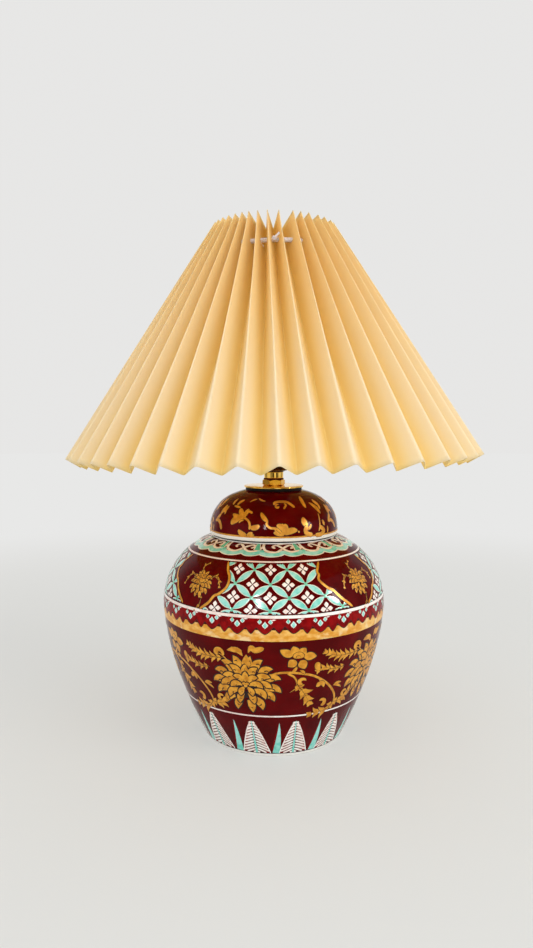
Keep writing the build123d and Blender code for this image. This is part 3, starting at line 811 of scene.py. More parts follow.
class Painting:
    """Strokes on a band of a turned form, unrolled flat at one radius: mm round the axis, and mm up the
    outline."""

    def __init__(self, form, radius):
        self.form, self.radius, self.strokes = form, radius, {}

    def seen(self, *pixels):
        """Places on the band that the photograph shows at pixels."""
        x, y = np.array(pixels, float).T
        angle, way = self.form.seen(x, y)
        return np.stack([angle * self.radius, way], axis=-1)

    def add(self, paint, grid, lift, marks):
        self.strokes.setdefault(paint, []).append((grid, lift, marks))

    def stroke(self, paint, path, width, shape=even, level=0, rise=0.05, grow=0.0):
        """A strip square to the path, as wide as its shape says, with a rounded back."""
        path = np.array(path, float)
        heading = np.gradient(path, axis=0)
        heading /= np.maximum(np.hypot(*heading.T), 1e-9)[:, None]
        path[0] -= heading[0] * grow
        path[-1] += heading[-1] * grow
        length = np.concatenate([[0], np.cumsum(np.hypot(*np.diff(path, axis=0).T))])
        share = length / length[-1]
        half = width / 2 * shape(share) + grow * np.minimum(1, 8 * np.minimum(share, 1 - share) + 0.15)
        left = np.stack([-heading[:, 1], heading[:, 0]], axis=-1)
        grid = path[:, None] + left[:, None] * (half[:, None] * brush_across)[..., None]
        lift = first_lift + level_step * level + rise * brush_rise + 0 * share[:, None]
        self.add(paint, grid, lift, share[:, None] + 0 * brush_across)

    def gold_stroke(self, path, width, shape=even, level=0, line=0.33):
        """Gold over a black stroke that is wider all round, which leaves a thin outline."""
        self.stroke("black", path, width, shape, level, rise=0.0, grow=line)
        self.stroke("gold", path, width, shape, level + 0.15, rise=0.03)

    def ring(self, paint, way, width, level=0, rise=0.05):
        """Line right round the form."""
        angle = np.linspace(0, 2 * np.pi, 360)
        path = np.stack([angle * self.radius, way + 0 * angle], axis=-1)
        self.stroke(paint, path, width, even, level, rise)

    def patch(self, paint, across, low, high, level, rows=5):
        """Flat coat of paint between two edges that both run round the form."""
        way = low[:, None] + (high - low)[:, None] * np.linspace(1, 0, rows)
        grid = np.stack([across[:, None] + 0 * way, way], axis=-1)
        self.add(paint, grid, first_lift + level_step * level + 0 * way, 0 * way)

    def lay(self, name, turns=1, keep=None):
        """Wraps the strokes round the form, as often as the pattern repeats."""
        for paint, strokes in self.strokes.items():
            grids, marks = [], []
            for repeat in range(turns):
                for grid, lift, share in strokes:
                    angle = grid[..., 0] / self.radius + repeat * 2 * np.pi / turns
                    grids.append(self.form.at(angle, grid[..., 1], lift))
                    marks.append(share)
            add_piece(f"{name}_{paint}", grids, paints[paint], "stand", marks=marks, keep=keep)
        print(name, {paint: len(strokes) * turns for paint, strokes in self.strokes.items()})


chance = np.random.default_rng(11)  # the hand's small wobbles, the same at each run
print("one coat of paint:", level_step, "mm")

# %% [markdown]
# ## Lines round the jar
# The painter held a brush to the turning jar for the plain lines, so they run true. A line could be a torus,
# but as a stroke it has the same rounded back and the same enamel as the rest.

# %% Lines
white_line_low, white_line_belly, white_line_collar = 41.4, 126.6, 164.8  # heights in mm
way_of = jar.way_at_height
lines = Painting(jar, 90.0)
lines.ring("black", way_of(foot_line) + 0.2, 0.9, rise=0.0)
lines.ring("white", way_of(white_line_low), 1.45)
lines.ring("black", way_of(white_line_belly), 3.4, rise=0.0)
lines.ring("white", way_of(white_line_belly), 2.3, level=1)
lines.ring("white", way_of(white_line_collar), 1.5)
lines.lay("jar_lines")

# %% [markdown]
# ## Lappets and spikes at the foot
# Thirteen feathered lappets stand round the foot, with a turquoise spike between each two. One could be
# copied round the jar, but they are freehand and all differ a little, so each is drawn anew with a small
# wobble.

# %% Foot of the jar
lappet_count, rib_count = 13, 12
spike_seen = [(276.2, 750.5), (280, 723.5)]  # foot and tip of the front spike in the photograph
foot = Painting(jar, 66.0)
foot_base = way_of(foot_line) + 0.7
spike_foot, spike_tip = foot.seen(*spike_seen)
lappet_height = spike_tip[1] - foot_base + 1.5
lappet_lean = -1.2
lappet_pitch = 2 * np.pi * foot.radius / lappet_count


def half_width(way):
    """Half a lappet's width at a way: nearly straight sides that close in a rounded tip."""
    share = np.clip((way - foot_base) / lappet_height, 0, 1)
    return 10.6 * (1 - share) ** 0.92 + 1.5 * np.sqrt(np.clip(1 - share**8, 0, 1))


def spike(x, tip):
    """Turquoise spike over a red one that is a little wider."""
    foot.stroke("red", bent((x, foot_base), tip, 0.01), 7.4, spike_shaped, rise=0.0, grow=0.2)
    foot.stroke("turquoise", bent(tip, (x, foot_base), 0.02), 6.4, lambda t: t**0.85, level=1)


def lappet(x):
    """Red ground, turquoise midrib and white edges of a lappet."""
    share = np.linspace(0, 1, 22)
    midrib = np.stack([x + lappet_lean * share, foot_base + lappet_height * share], axis=-1)
    foot.stroke("red", midrib, 2.0, lambda t: half_width(foot_base + t * lappet_height), rise=0.0, grow=0.25)
    foot.stroke("turquoise", midrib[::-1], 1.9, lambda t: 0.3 + 0.7 * t, level=2, rise=0.03)
    for side in (-1, 1):
        aside = side * (half_width(midrib[:, 1]) - 0.3)
        foot.stroke("white", midrib + np.stack([aside, 0 * aside], axis=-1), 0.9, even, level=1.5, rise=0.03)


def rib(x, side, number):
    """White rib of a lappet, from its midrib down and out to its edge. The foot cuts off the lowest ones."""
    inner_way = foot_base + 1.4 + number * (lappet_height + 1.2) / rib_count
    middle = x + lappet_lean * (inner_way - foot_base) / lappet_height
    drop = 6.4 * (1 - number / 16)
    outer_way = max(inner_way - drop, foot_base + 0.25)
    reach = half_width(outer_way) - 0.2
    if outer_way > inner_way - drop:
        reach = min(reach, 0.9 + (reach - 0.9) * (inner_way - outer_way) / drop)
    if reach > 1.3:
        path = bent((middle + side * 0.6, inner_way), (middle + side * reach, outer_way), 0.03, 6)
        foot.stroke("white", path, 1.85, round_ended, level=1, rise=0.03)


for number in range(lappet_count):
    wobble = chance.normal(0, 0.5, 4)
    spike_x = spike_foot[0] + number * lappet_pitch + wobble[0]
    spike(spike_x, (spike_x + 1.0 + wobble[1], spike_tip[1] + wobble[2]))
    lappet_x = spike_x + lappet_pitch / 2 - 1.2 + wobble[3]
    lappet(lappet_x)
    for side in (-1, 1):
        for rib_number in range(rib_count):
            rib(lappet_x, side, rib_number)
foot.lay("foot", keep=clear_of_inlet)

# %% [markdown]
# ## Motifs
# Flowers and leaves come back in several sizes on the belly and the shoulder. Each could be drawn point by
# point, but a painter builds them from the same few strokes every time, so each motif is a function that
# places strokes.


# %% Flower heads
def ring_of_petals(band, centre, inner, outer, count, first, squash, level, gap, line):
    """Petals side by side: each is as wide as its neighbours let it, and bows aside to a point."""
    for i in range(count):
        angle = 2 * np.pi * i / count + first + chance.normal(0, 0.035)
        out = direction(angle, squash)
        aside = float(np.clip(1.5 * np.cos(angle), -1, 1))
        start, end = centre + out * inner, centre + out * outer * (1 + chance.normal(0, 0.03))

        def width(share):
            """Room between the neighbours at this distance, closing to the point from two fifths on."""
            space = 2 * np.pi * (inner + (outer - inner) * share) / count * squash**0.5 - gap
            return space * (1 - np.clip((share - 0.4) / 0.6, 0, 1) ** 1.3)

        band.gold_stroke(bent(start, end, 0.24 * aside, 14), 1.0, width, level, line)
        petal_width = 2 * np.pi * inner / count
        vein = curl((start + end) / 2, petal_width * 0.3, angle + 2.3 * aside, -4.0 * aside, 0.45, 12)
        band.stroke("black", vein, gap * 0.75, tapering, level + 0.6, rise=0.02)


# each ring: its inner and outer reach as shares of the size, and how many petals fewer than the outermost one
petal_rings = [(0.56, 1.0, 0), (0.3, 0.74, 4), (0.1, 0.46, 8)]


def layered_flower(band, centre, size, squash, petals=15, gap=1.6, line=0.9):
    """Layered head: rings of petals on a black ground, each ring tucked under the next one in, round a knot
    of three small ones."""
    ground = size * 0.5
    path = bent(centre - [ground, 0], centre + [ground, 0], 0, 24)
    band.stroke("black", path, 2 * ground * squash, blob_shaped, rise=0.0)
    for number, (inner, outer, fewer) in enumerate(petal_rings):
        reach, first, level = (size * inner, size * outer), 0.2 + number * 0.23, 0.5 + number
        room = gap * (1 - 0.12 * number)
        ring_of_petals(band, centre, *reach, petals - fewer, first, squash, level, room, line)
    for i in range(3):
        spot = centre + direction(2 * np.pi * i / 3 + 0.5, squash) * size * 0.055
        path = bent(spot - [size * 0.05, 0], spot + [size * 0.05, 0], 0.1)
        band.gold_stroke(path, size * 0.085, blob_shaped, 5, line * 0.8)


print("petals of the largest head:", sum(15 - fewer for _, _, fewer in petal_rings))


# %% Leaves
def comma_leaf(band, centre, radius, start, sweep, level=0):
    """Round leaf curled on itself: a spiral stroke with a fat head and a thin tail."""

    def width(share):
        return np.sqrt(np.minimum(1, share * 5 + 0.05)) * (1 - share) ** 0.4 + 0.12

    band.gold_stroke(curl(centre, radius, start, sweep, 0.35)[::-1], radius * 0.95, width, level)


def serrated_leaf(band, points, count, length, width):
    """A broad stroke under pairs of pointed lobes that shorten towards the tip, with a dark midrib."""
    lean, shortest = 0.75, 0.45
    path = curve(points)
    band.gold_stroke(path, length * 0.4, leaf_shaped, 0, 0.3)
    shares = np.linspace(0.06, 0.9, count)
    spots = np.round(shares * (len(path) - 1)).astype(int)
    heading = np.gradient(path, axis=0)
    for spot, share in zip(spots, shares):
        along = np.arctan2(heading[spot, 1], heading[spot, 0])
        for side in (-1, 1):
            angle = along + side * lean * (1.15 - 0.5 * share) + chance.normal(0, 0.06)
            fullness = shortest + (1 - shortest) * np.sin(np.pi * share**0.8)
            reach = length * fullness * (1 + chance.normal(0, 0.06))
            tip = path[spot] + reach * direction(angle)
            lobe = bent(path[spot], tip, -0.14 * side, 9)
            band.gold_stroke(lobe, width, pointed_petal, 1 + 0.5 * share, 0.3)
    band.stroke("black", path[: int(len(path) * 0.85)], 0.5, tapering, 2.2, rise=0.0)


print("motifs:", [motif.__name__ for motif in (layered_flower, comma_leaf, serrated_leaf)])

# %% [markdown]
# ## Belly spray
# The same gold spray runs five times round the belly: a layered flower head, a vine with a six-petalled
# flower, and serrated leaves. It could be painted as one picture of the whole belly. Placing one spray from
# the photograph and laying it five times keeps every stroke as sharp as the first. The places below are
# pixels of the photograph.

# %% Flower head, bud and six-petalled flower
belly = Painting(jar, 92.0)
head_seen = (245.7, 684.5)
bud_seen = [(246.0, 668), (246.2, 654.5)]
# each leaf round the bud: its points, its width in mm and its shape
horns_seen = [
    ([(242.6, 656.0), (238.0, 650.6), (233.0, 649.4), (226.8, 649.8)], 4.6, leaf_shaped),
    ([(240.5, 653.4), (238.6, 648.6)], 3.4, leaf_shaped),
    ([(234.5, 650.2), (231.0, 646.6)], 2.6, leaf_shaped),
    ([(248.0, 653.0), (251.0, 647.4), (255.0, 650.4), (264.0, 648.2)], 4.6, petal_shaped),
    ([(249.6, 651.4), (251.4, 645.8)], 3.2, leaf_shaped),
]
heart_seen = (298.6, 657.3)
heart_band_seen = [(293.6, 657.6), (303.8, 656.8)]
# each petal round the heart: its tip and its width in mm
petals_seen = [
    ((280.2, 650.0), 6.6), ((293.4, 646.4), 6.8), ((306.2, 648.0), 6.6),
    ((316.6, 656.0), 7.0), ((304.6, 668.8), 7.4), ((288.2, 666.6), 7.4),
]
flower_stem_seen = [(297.2, 666.5), (295, 670), (291.5, 673)]

layered_flower(belly, belly.seen(head_seen)[0], 29.0, 0.88)
belly.gold_stroke(bent(*belly.seen(*bud_seen)), 9.0, pointed_petal, 1)
for points, width, shape in horns_seen:
    belly.gold_stroke(curve(belly.seen(*points)), width, shape, 1)
heart = belly.seen(heart_seen)[0]
for tip, width in petals_seen:
    end = belly.seen(tip)[0]
    belly.gold_stroke(bent(heart + (end - heart) * 0.3, end, 0.05), width, full_petal, 1, 0.7)
belly.gold_stroke(bent(*belly.seen(*heart_band_seen), 0.22), 5.4, blob_shaped, 2)
belly.stroke("black", curl(heart, 1.9, 3.4, -3.6, 0.8), 0.5, tapering, 3, rise=0.0)
belly.gold_stroke(curve(belly.seen(*flower_stem_seen)), 2.6, leaf_shaped)
print("flower head", belly.seen(head_seen)[0].round(1), "and small flower", heart.round(1), "mm round and up")

# %% Vine and leaves
# each stem: its points, its width in mm and its shape
stems_seen = [
    ([(267, 677), (273, 674.5), (283, 672.8), (296, 673), (310, 674.8), (319, 678), (328, 684), (333.5, 692),
      (333.8, 699), (330.5, 704.5)], 1.9, round_ended),
    ([(287, 673.5), (294, 677), (297, 683), (295.5, 688.5), (289.5, 692.8)], 1.9, tapering),
    ([(314, 675.5), (319, 678.5), (321, 684)], 1.2, tapering),
    ([(362.5, 657), (361.5, 650.5), (357.5, 646.5), (353, 648.5)], 1.3, tapering),
]
# each leaflet: where it leaves the stem, its tip and its width in mm
leaflets_seen = [
    ((320.5, 681), (316, 686.5), 4.2), ((320.5, 681), (323.5, 686.8), 3.6), ((333, 685), (341, 681.5), 2.6),
    ((333, 685), (340.5, 686.5), 2.2), ((300, 670.5), (305, 674), 2.2),
]
bract_seen = [(320.5, 670), (318.5, 662)]
# each serrated leaf: its points, how many pairs of lobes, and the length and width of a lobe in mm
serrated_seen = [
    ([(296.5, 683.5), (300, 688), (304, 693), (309.5, 703.5)], 4, 10.0, 5.4),
    ([(345, 664.8), (334, 668.5), (325, 667.5), (317, 671.5)], 6, 6.8, 3.0),
    ([(359.5, 649), (350, 653), (338, 655), (323.5, 651.2)], 8, 8.4, 3.3),
    ([(333, 701), (326, 708.5), (318, 711.5), (309.0, 714.2)], 4, 9.6, 5.2),
    ([(332, 701), (336, 700.5), (341, 698), (345.5, 693.0)], 4, 8.6, 4.8),
]
# each curled leaf: its middle, its radius in mm, and the angles at which it starts and through which it turns
curled_seen = [
    ((302.0, 682.2), 3.6, 0.4, 4.6), ((357.0, 645.8), 4.2, -0.6, 4.9),
    ((321.5, 702.5), 4.0, 2.4, -4.2), ((343.0, 692.5), 3.4, 0.6, 4.2),
]
for points, width, shape in stems_seen:
    belly.gold_stroke(curve(belly.seen(*points)), width, shape)
for base, tip, width in leaflets_seen:
    belly.gold_stroke(bent(*belly.seen(base, tip), 0.12), width, leaf_shaped, 1)
for points, count, length, width in serrated_seen:
    serrated_leaf(belly, belly.seen(*points), count, length, width)
belly.gold_stroke(bent(*belly.seen(*bract_seen), 0.2), 5.0, petal_shaped, 2)
for spot, radius, start, sweep in curled_seen:
    comma_leaf(belly, belly.seen(spot)[0], radius, start, sweep, 3)
belly.lay("belly", turns=5)

# %% [markdown]
# ## Gold band with red teeth
# Under the shoulder line runs a band of mottled gold with red teeth hanging over it. The teeth could be
# strokes one by one, but their edge is one line to the eye, so it is a wave whose beat is the pendants',
# with a wide tooth under each pendant and a narrow one between.

# %% Gold band
pendant_count, pendant_share = 28, 0.31  # share of a pendant's room that its own tooth takes to either side
band_heights = (107.4, 123.0, 113.4, 118.8, 125.7)
band_low, band_high, teeth_low, teeth_high, teeth_top = way_of(band_heights)
band = Painting(jar, 97.0)
round_band = np.linspace(0, 2 * np.pi, 56 * 16 + 1)
along_band = round_band * band.radius
middle_line = np.stack([along_band, (band_low + band_high) / 2 + 0 * round_band], axis=-1)
band.stroke("band", middle_line, band_high - band_low, rise=0.02)

beat_shift = 0.846  # puts a wide tooth under the front pendant
beat = (round_band * pendant_count / (2 * np.pi) + beat_shift) % 1 - 0.5  # 0 at a pendant, half between two
wide_tooth = (np.abs(beat) / pendant_share) ** 1.5
narrow_tooth = ((0.5 - np.abs(beat)) / (0.5 - pendant_share)) ** 1.3 * 0.96
height_share = np.where(np.abs(beat) < pendant_share, wide_tooth, narrow_tooth)
hand = 0.5 * np.sin(round_band * 9 + 1.0) + 0.35 * np.sin(round_band * 23)  # the painter's hand wavers
teeth = teeth_low + (teeth_high - teeth_low) * height_share + hand
band.patch("red", along_band, teeth, teeth_top + 0 * teeth, 1)
band.stroke("black", np.stack([along_band, teeth], axis=-1), 0.6, level=1.4, rise=0.0)
print("teeth:", 2 * pendant_count)

# %% [markdown]
# ## Pendants
# Over each wide tooth hangs a cluster of rhombs: white, with turquoise in the larger ones and a green dot
# beside them. They are strokes that grow straight out and straight back, which is quicker than four corners
# each.

# %% Pendants
front_pendant, pendant_top = -0.078 * band.radius, way_of(125.4)
# each upright rhomb: how far right and up its middle is, its width and its height in mm
upright_rhombs = [(-4.1, -2.0, 4.0, 3.8), (4.2, -2.0, 4.4, 3.8), (0, -4.6, 5.6, 5.4)]
for number in range(pendant_count):
    x = front_pendant + number * 2 * np.pi * band.radius / pendant_count + chance.normal(0, 0.4)
    hang = pendant_top + chance.normal(0, 0.2)
    for aside, down, width, height in upright_rhombs:
        top, bottom = hang + down + height / 2, hang + down - height / 2
        rhomb = bent((x + aside, top), (x + aside, bottom), 0, 7)
        band.stroke("white", rhomb, width, rhomb_shaped, 2, rise=0.02)
        band.stroke("turquoise", rhomb[1:-1], width * 0.66, rhomb_shaped, 2.5, rise=0.04)
    dash = bent((x + 4.4, hang - 0.7), (x + 8.6, hang - 0.4), 0, 7)
    band.stroke("white", dash, 1.2, rhomb_shaped, 2, rise=0.02)
    dot = bent((x - 4.1, hang - 0.3), (x - 4.1, hang - 1.9), 0, 7)
    band.stroke("green", dot, 1.5, blob_shaped, 3, rise=0.04)
band.lay("gold_band")

# %% [markdown]
# ## Lattice on the shoulder
# Four panels of a lattice stand on the shoulder, made of leaves that meet in fours round small white
# florets. A gold border parts them from plain red fields. The border could cut the leaves with a boolean,
# but it is enough to sink what lies beyond it into the glaze.

# %% Lattice
shoulder = Painting(jar, 92.0)
rows_seen = [(270, 570), (271, 585), (272, 598.5), (273, 611.5)]  # places on the lattice's rows of nodes
left_border_seen = [
    (228.6, 561.5), (228.3, 571), (229.6, 576), (228.4, 583.5), (225, 589), (218.6, 594), (214, 596),
    (208.4, 602.5), (199.5, 608.8),
]
right_border_seen = [
    (318.2, 561.5), (317, 571), (318.8, 575), (318.9, 580), (327.5, 587.5), (333, 590), (340.4, 597),
    (352.8, 606.5),
]
half_pitch, front_column = np.radians(9.0) * shoulder.radius, np.radians(-2.2) * shoulder.radius
row_ways = shoulder.seen(*rows_seen)[:, 1]
row_ways = np.concatenate([[2 * row_ways[0] - row_ways[1]], row_ways, [2 * row_ways[3] - row_ways[2]]])
left_border, right_border = shoulder.seen(*left_border_seen), shoulder.seen(*right_border_seen)
panel_edge = np.concatenate([left_border, right_border[::-1]])


def inside_panel(places):
    """Even-odd rule: a place is inside if a line from it crosses the border an odd number of times."""
    x, y = places[..., 0, None], places[..., 1, None]
    (x1, y1), (x2, y2) = panel_edge.T, np.roll(panel_edge, -1, axis=0).T
    crosses = (y1 > y) != (y2 > y)
    reach = x1 + (y - y1) * (x2 - x1) / np.where(y2 == y1, 1e-9, y2 - y1)
    return (crosses & (x < reach)).sum(-1) % 2 == 1


def lattice_leaf(start, end, bend):
    """Turquoise leaf with a cream edge between two nodes, if enough of it is in the panel."""
    path = bent(start + (end - start) * 0.05, end + (start - end) * 0.05, bend, 17)
    if inside_panel(path).mean() > 0.15:
        shoulder.stroke("cream", path, 5.6, leaf_shaped, 0.4, rise=0.02)
        shoulder.stroke("turquoise", path[1:-1], 4.4, leaf_shaped, 1, rise=0.06)


def floret(place):
    """Four notched petals round a place."""
    for quarter in range(4):
        out = direction(quarter * np.pi / 2 + chance.normal(0, 0.05))
        petal = bent(place + out * 0.35, place + out * 5.3, 0, 9)
        shoulder.stroke("white", petal, 4.3, rhomb_shaped, 1, rise=0.04)


def crossing(row, column):
    """Place where a row and a column meet. Every second one is a node, and the others hold florets."""
    return np.array([front_column + column * half_pitch, row_ways[row]])


crossings = [(row, column) for row in range(len(row_ways)) for column in range(-9, 10)]
for row, column in crossings:
    place = crossing(row, column)
    if inside_panel(place[None])[0]:
        if (row + column) % 2:
            floret(place)
        else:
            shoulder.stroke("green", bent(place - [0, 1.5], place + [0, 1.5], 0, 7), 2.8, blob_shaped, 2)
for row, column in crossings:
    if (row + column) % 2 == 0 and row + 1 < len(row_ways):
        for side in (-1, 1):
            lattice_leaf(crossing(row, column), crossing(row + 1, column + side), 0.02 * side)
for paint, strokes in shoulder.strokes.items():
    sunk = [(grid, np.where(inside_panel(grid), lift, -0.6), marks) for grid, lift, marks in strokes]
    shoulder.strokes[paint] = sunk
print("lattice strokes in a panel:", {paint: len(strokes) for paint, strokes in shoulder.strokes.items()})

# %% [markdown]
# ## Borders and small flowers
# Each plain red field between the panels holds a small gold flower with four sprigs. It is the belly's
# flower at less than half the size, which a painter would do as well.

# %% Borders and fields
field_seen = (358.5, 581.0)
# each sprig: its points from the flower's middle, how many pairs of lobes, and a lobe's length and width
sprigs = [
    ([(-7, 4), (-13, 7), (-17, 3), (-19, -3)], 4, 3.6, 1.8),
    ([(8, 5), (13, 8), (18, 5), (20, -1)], 4, 3.6, 1.8),
    ([(-2, 9), (-4, 15), (1, 19)], 3, 3.4, 1.8),
    ([(5, -9), (4, -16), (-1, -22)], 3, 2.4, 1.4),
]
for border in (left_border, right_border):
    shoulder.gold_stroke(curve(border), 2.1, round_ended, 3, 0.4)
field = shoulder.seen(field_seen)[0]
layered_flower(shoulder, field, 11.8, 0.95, 13, gap=0.8, line=0.45)
for points, count, length, width in sprigs:
    serrated_leaf(shoulder, field + np.array(points), count, length, width)
shoulder.lay("shoulder", turns=4)

# %% [markdown]
# ## Cloud collar
# Round the lid lies a collar of twelve cloud-headed lobes: a scalloped turquoise rim, green bars, and cream
# scrolls. All twelve could be read from the photograph, but only the front ones are seen squarely, so one
# lobe is drawn from it, line by line, and the other eleven are its copies.

# %% Collar lobes
collar = Painting(jar, 64.0)
scallop_seen = [
    (257.4, 550.6), (262.5, 553.6), (270.9, 555.0), (279.5, 554.0), (284.0, 552.4), (291.5, 554.2),
    (299.5, 553.0), (305.2, 549.8),
]
green_bar_seen = [(258.8, 541.0), (258.6, 545.0), (257.2, 550.4)]
bar_edge_seen = [(258.8, 541.0), (258.6, 545.0), (257.0, 550.0)]
# each cream scroll: its points and its width in mm
scrolls_seen = [
    ([(263.6, 541.7), (264.1, 549.0), (266.8, 551.2), (271.9, 552.4), (277.4, 552.2), (282.8, 548.6)], 2.2),
    ([(282.8, 548.6), (287.2, 550.9), (292.3, 551.9), (297.4, 550.7), (300.4, 547.8), (299.2, 541.7)], 2.2),
    ([(282.6, 548.6), (279.6, 546.7), (275.8, 545.4), (272.8, 547.0), (275.4, 548.8)], 2.3),
    ([(283.0, 548.6), (286.0, 546.7), (289.8, 545.2), (293.0, 546.8), (290.4, 548.8)], 2.3),
    ([(277.0, 543.7), (279.6, 544.6), (283.4, 544.2), (287.2, 543.4)], 1.9),
]
scallop = curve(collar.seen(*scallop_seen))
green_bar, bar_edge = curve(collar.seen(*green_bar_seen)), curve(collar.seen(*bar_edge_seen))
collar.stroke("turquoise", scallop, 4.2, round_ended, 1)
collar.stroke("cream", scallop - [0, 0.2], 5.4, round_ended, 0.3, rise=0.02)
collar.stroke("green", green_bar, 4.6, lambda t: 0.55 + 0.45 * t, 1.6, rise=0.06)
collar.stroke("cream", bar_edge, 6.2, lambda t: 0.6 + 0.4 * t, 0.4, rise=0.02)
for points, width in scrolls_seen:
    collar.stroke("cream", curve(collar.seen(*points)), width, round_ended, 1)
collar.lay("collar", turns=12)

# %% [markdown]
# ## Gold sprays on the lid
# The lid carries looser gold work over a gold line: leaves, buds and curls. None of it repeats closely
# enough for a motif's function, so the front third is listed stroke by stroke as it is seen, and comes three
# times round.

# %% Lid painting
lid_lines = Painting(lid, 56.0)
lid_lines.ring("gold", lid.way_at_height(lid_foot + lid_line) + 0.55, 1.3, 1, rise=0.03)
lid_lines.lay("lid_line")

# each leaf or lobe: where it starts and ends in the photograph, its width in mm, and how far it bows
lid_lobes_seen = {
    "flower head": [
        ((242.7, 516.5), (240.7, 508.4), 4.6, 0.0), ((243.1, 516.5), (248.8, 508.8), 4.2, -0.1),
        ((242.3, 516.5), (233.2, 513.8), 3.8, 0.1), ((242.3, 517.3), (231.3, 524.4), 6.4, -0.15),
        ((239.0, 515.7), (246.2, 515.7), 7.0, 0.0),
    ],
    "leaf on the flower's stem": [
        ((250.0, 526.9), (259.2, 525.0), 4.4, -0.2), ((250.2, 528.0), (256.6, 528.7), 2.4, -0.1),
    ],
    "buds under the flower": [
        ((246.5, 534.9), (238.4, 529.6), 4.2, 0.15), ((246.7, 534.9), (251.8, 532.0), 3.8, -0.2),
        ((248.1, 535.3), (254.2, 535.2), 2.0, 0.0),
    ],
    "long leaf": [((268.2, 521.9), (261.3, 512.6), 3.6, 0.08)],
    "lotus": [
        ((284.6, 534.9), (285.8, 524.0), 6.0, 0.05), ((285.0, 534.9), (297.4, 530.6), 5.2, 0.15),
        ((283.9, 535.6), (273.6, 533.2), 4.4, -0.1), ((283.4, 534.2), (274.4, 529.6), 3.6, -0.1),
        ((281.6, 530.6), (276.6, 526.0), 4.6, -0.3), ((298.4, 530.8), (299.2, 532.8), 1.6, 0.0),
        ((281.9, 523.8), (282.9, 525.4), 1.4, 0.0),
    ],
    "leaf and bud on the right": [
        ((299.6, 496.4), (305.8, 508.0), 4.4, -0.1), ((308.6, 502.8), (320.2, 513.4), 4.6, 0.1),
        ((312.2, 499.5), (318.0, 505.0), 3.8, -0.2),
    ],
    "iris on the right": [
        ((303.2, 517.2), (307.8, 526.6), 5.0, -0.15), ((310.9, 524.0), (308.0, 530.0), 2.0, 0.1),
        ((321.9, 519.8), (324.0, 525.4), 2.6, 0.1),
    ],
    "curl at the right": [((325.2, 504.5), (328.6, 510.9), 3.0, 0.1)],
    "ferns at the left": [
        ((228.2, 499.5), (219.7, 507.1), 2.8, 0.1), ((227.8, 504.9), (221.0, 513.4), 4.6, 0.1),
        ((226.6, 508.2), (224.7, 514.2), 2.0, 0.1), ((221.6, 513.2), (216.4, 519.2), 3.4, 0.1),
        ((214.1, 523.9), (213.3, 530.0), 2.0, 0.1),
    ],
    "leaves above the flower": [
        ((233.6, 504.7), (238.8, 498.5), 3.0, 0.1), ((237.6, 505.1), (245.0, 500.1), 3.6, 0.15),
        ((234.7, 505.7), (240.9, 507.6), 2.2, 0.0), ((250.0, 502.2), (257.4, 499.3), 2.0, 0.1),
        ((259.1, 498.2), (265.7, 501.3), 2.0, -0.1),
    ],
}
# each stem or curl: its points in the photograph, and its width in mm
lid_stems_seen = {
    "flower's hook": ([(246.3, 514.9), (248.9, 511.5), (252.9, 513.4)], 2.0),
    "flower's stem": ([(244.0, 517.6), (248.1, 520.6), (249.8, 524.8), (249.4, 529.8)], 1.8),
    "tendril": ([(239.0, 523.1), (240.7, 521.0), (244.0, 520.0)], 1.3),
    "lotus stem": ([(267.8, 521.3), (266.8, 524.8), (270.5, 528.1), (276.3, 528.9), (282.1, 533.4)], 1.9),
    "cloud": (
        [(273.8, 505.2), (275.2, 502.6), (279.6, 501.7), (286.3, 502.0), (290.0, 504.0), (294.8, 507.6)], 3.0,
    ),
    "cloud's tail": ([(283.8, 503.6), (285.8, 505.1), (283.6, 509.2)], 1.8),
    "bud's stem": ([(317.8, 513.2), (319.3, 519.0), (319.8, 526.4), (318.8, 531.4)], 1.1),
    "iris stem": ([(307.6, 525.6), (305.7, 529.8), (307.0, 533.4), (312.6, 535.1)], 3.6),
    "iris leaf": ([(319.4, 526.0), (323.6, 529.8), (321.1, 533.9), (315.3, 535.0)], 3.4),
    "fiddlehead": ([(327.7, 521.0), (330.2, 519.6), (332.6, 521.6), (334.6, 527.0)], 2.8),
}
cloud_curl_seen = (277.6, 506.4)
lid_spray = Painting(lid, 53.0)
for lobes in lid_lobes_seen.values():
    for start, end, width, bow in lobes:
        lid_spray.gold_stroke(bent(*lid_spray.seen(start, end), bow), width, full_leaf, 1, 0.45)
for points, width in lid_stems_seen.values():
    lid_spray.gold_stroke(curve(lid_spray.seen(*points)), width, round_ended, 1.5, 0.3)
comma_leaf(lid_spray, lid_spray.seen(cloud_curl_seen)[0], 2.4, 1.0, 5.4, 2)
lid_spray.lay("lid", turns=3)

# %% [markdown]
# ## Pleated shade
# The shade is one strip of card, folded to and fro and drawn together at the top by a cord, so its folds lie
# close and uneven there and open towards the hem. A cloth simulation could gather it, but card keeps its
# folds straight, so it is worked out from its eighty fold lines. The mountains that the photograph shows are
# placed by where they meet the hem and the top edge in it, and those behind are spread over what is left.

# %% Fold lines
hem_radius, top_radius = 175.0, 52.8
shade_low, shade_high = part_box("shade_pleats")
hem_height, top_height = shade_low.z / MM + 7.5, shade_high.z / MM
hem_valley_in, hem_valley_down, top_valley_in, top_valley_down = 13.0, 7.5, 16.9, 10.6
pleat_count = 40
# pixel columns of the mountains at the hem and at the top, from left to right
hem_columns_seen = [
    68.2, 76.5, 89.5, 106.6, 129.8, 158.5, 195.5, 236.9, 279.6, 320.5, 357.5, 395, 426.5, 453.5, 471, 482.5,
]
top_columns_seen = [
    214.6, 217.6, 222.2, 228, 234.7, 241.5, 248.5, 257.4, 267.2, 278.7, 293.3, 301, 309.2, 318.6, 325, 331.2,
]


def hem_reach(angle):
    """Radius of the hem, which stands a little further out on the right."""
    return hem_radius * (1.025 + 0.011 * np.sin(angle))


def top_reach(angle):
    return top_radius + 0 * angle


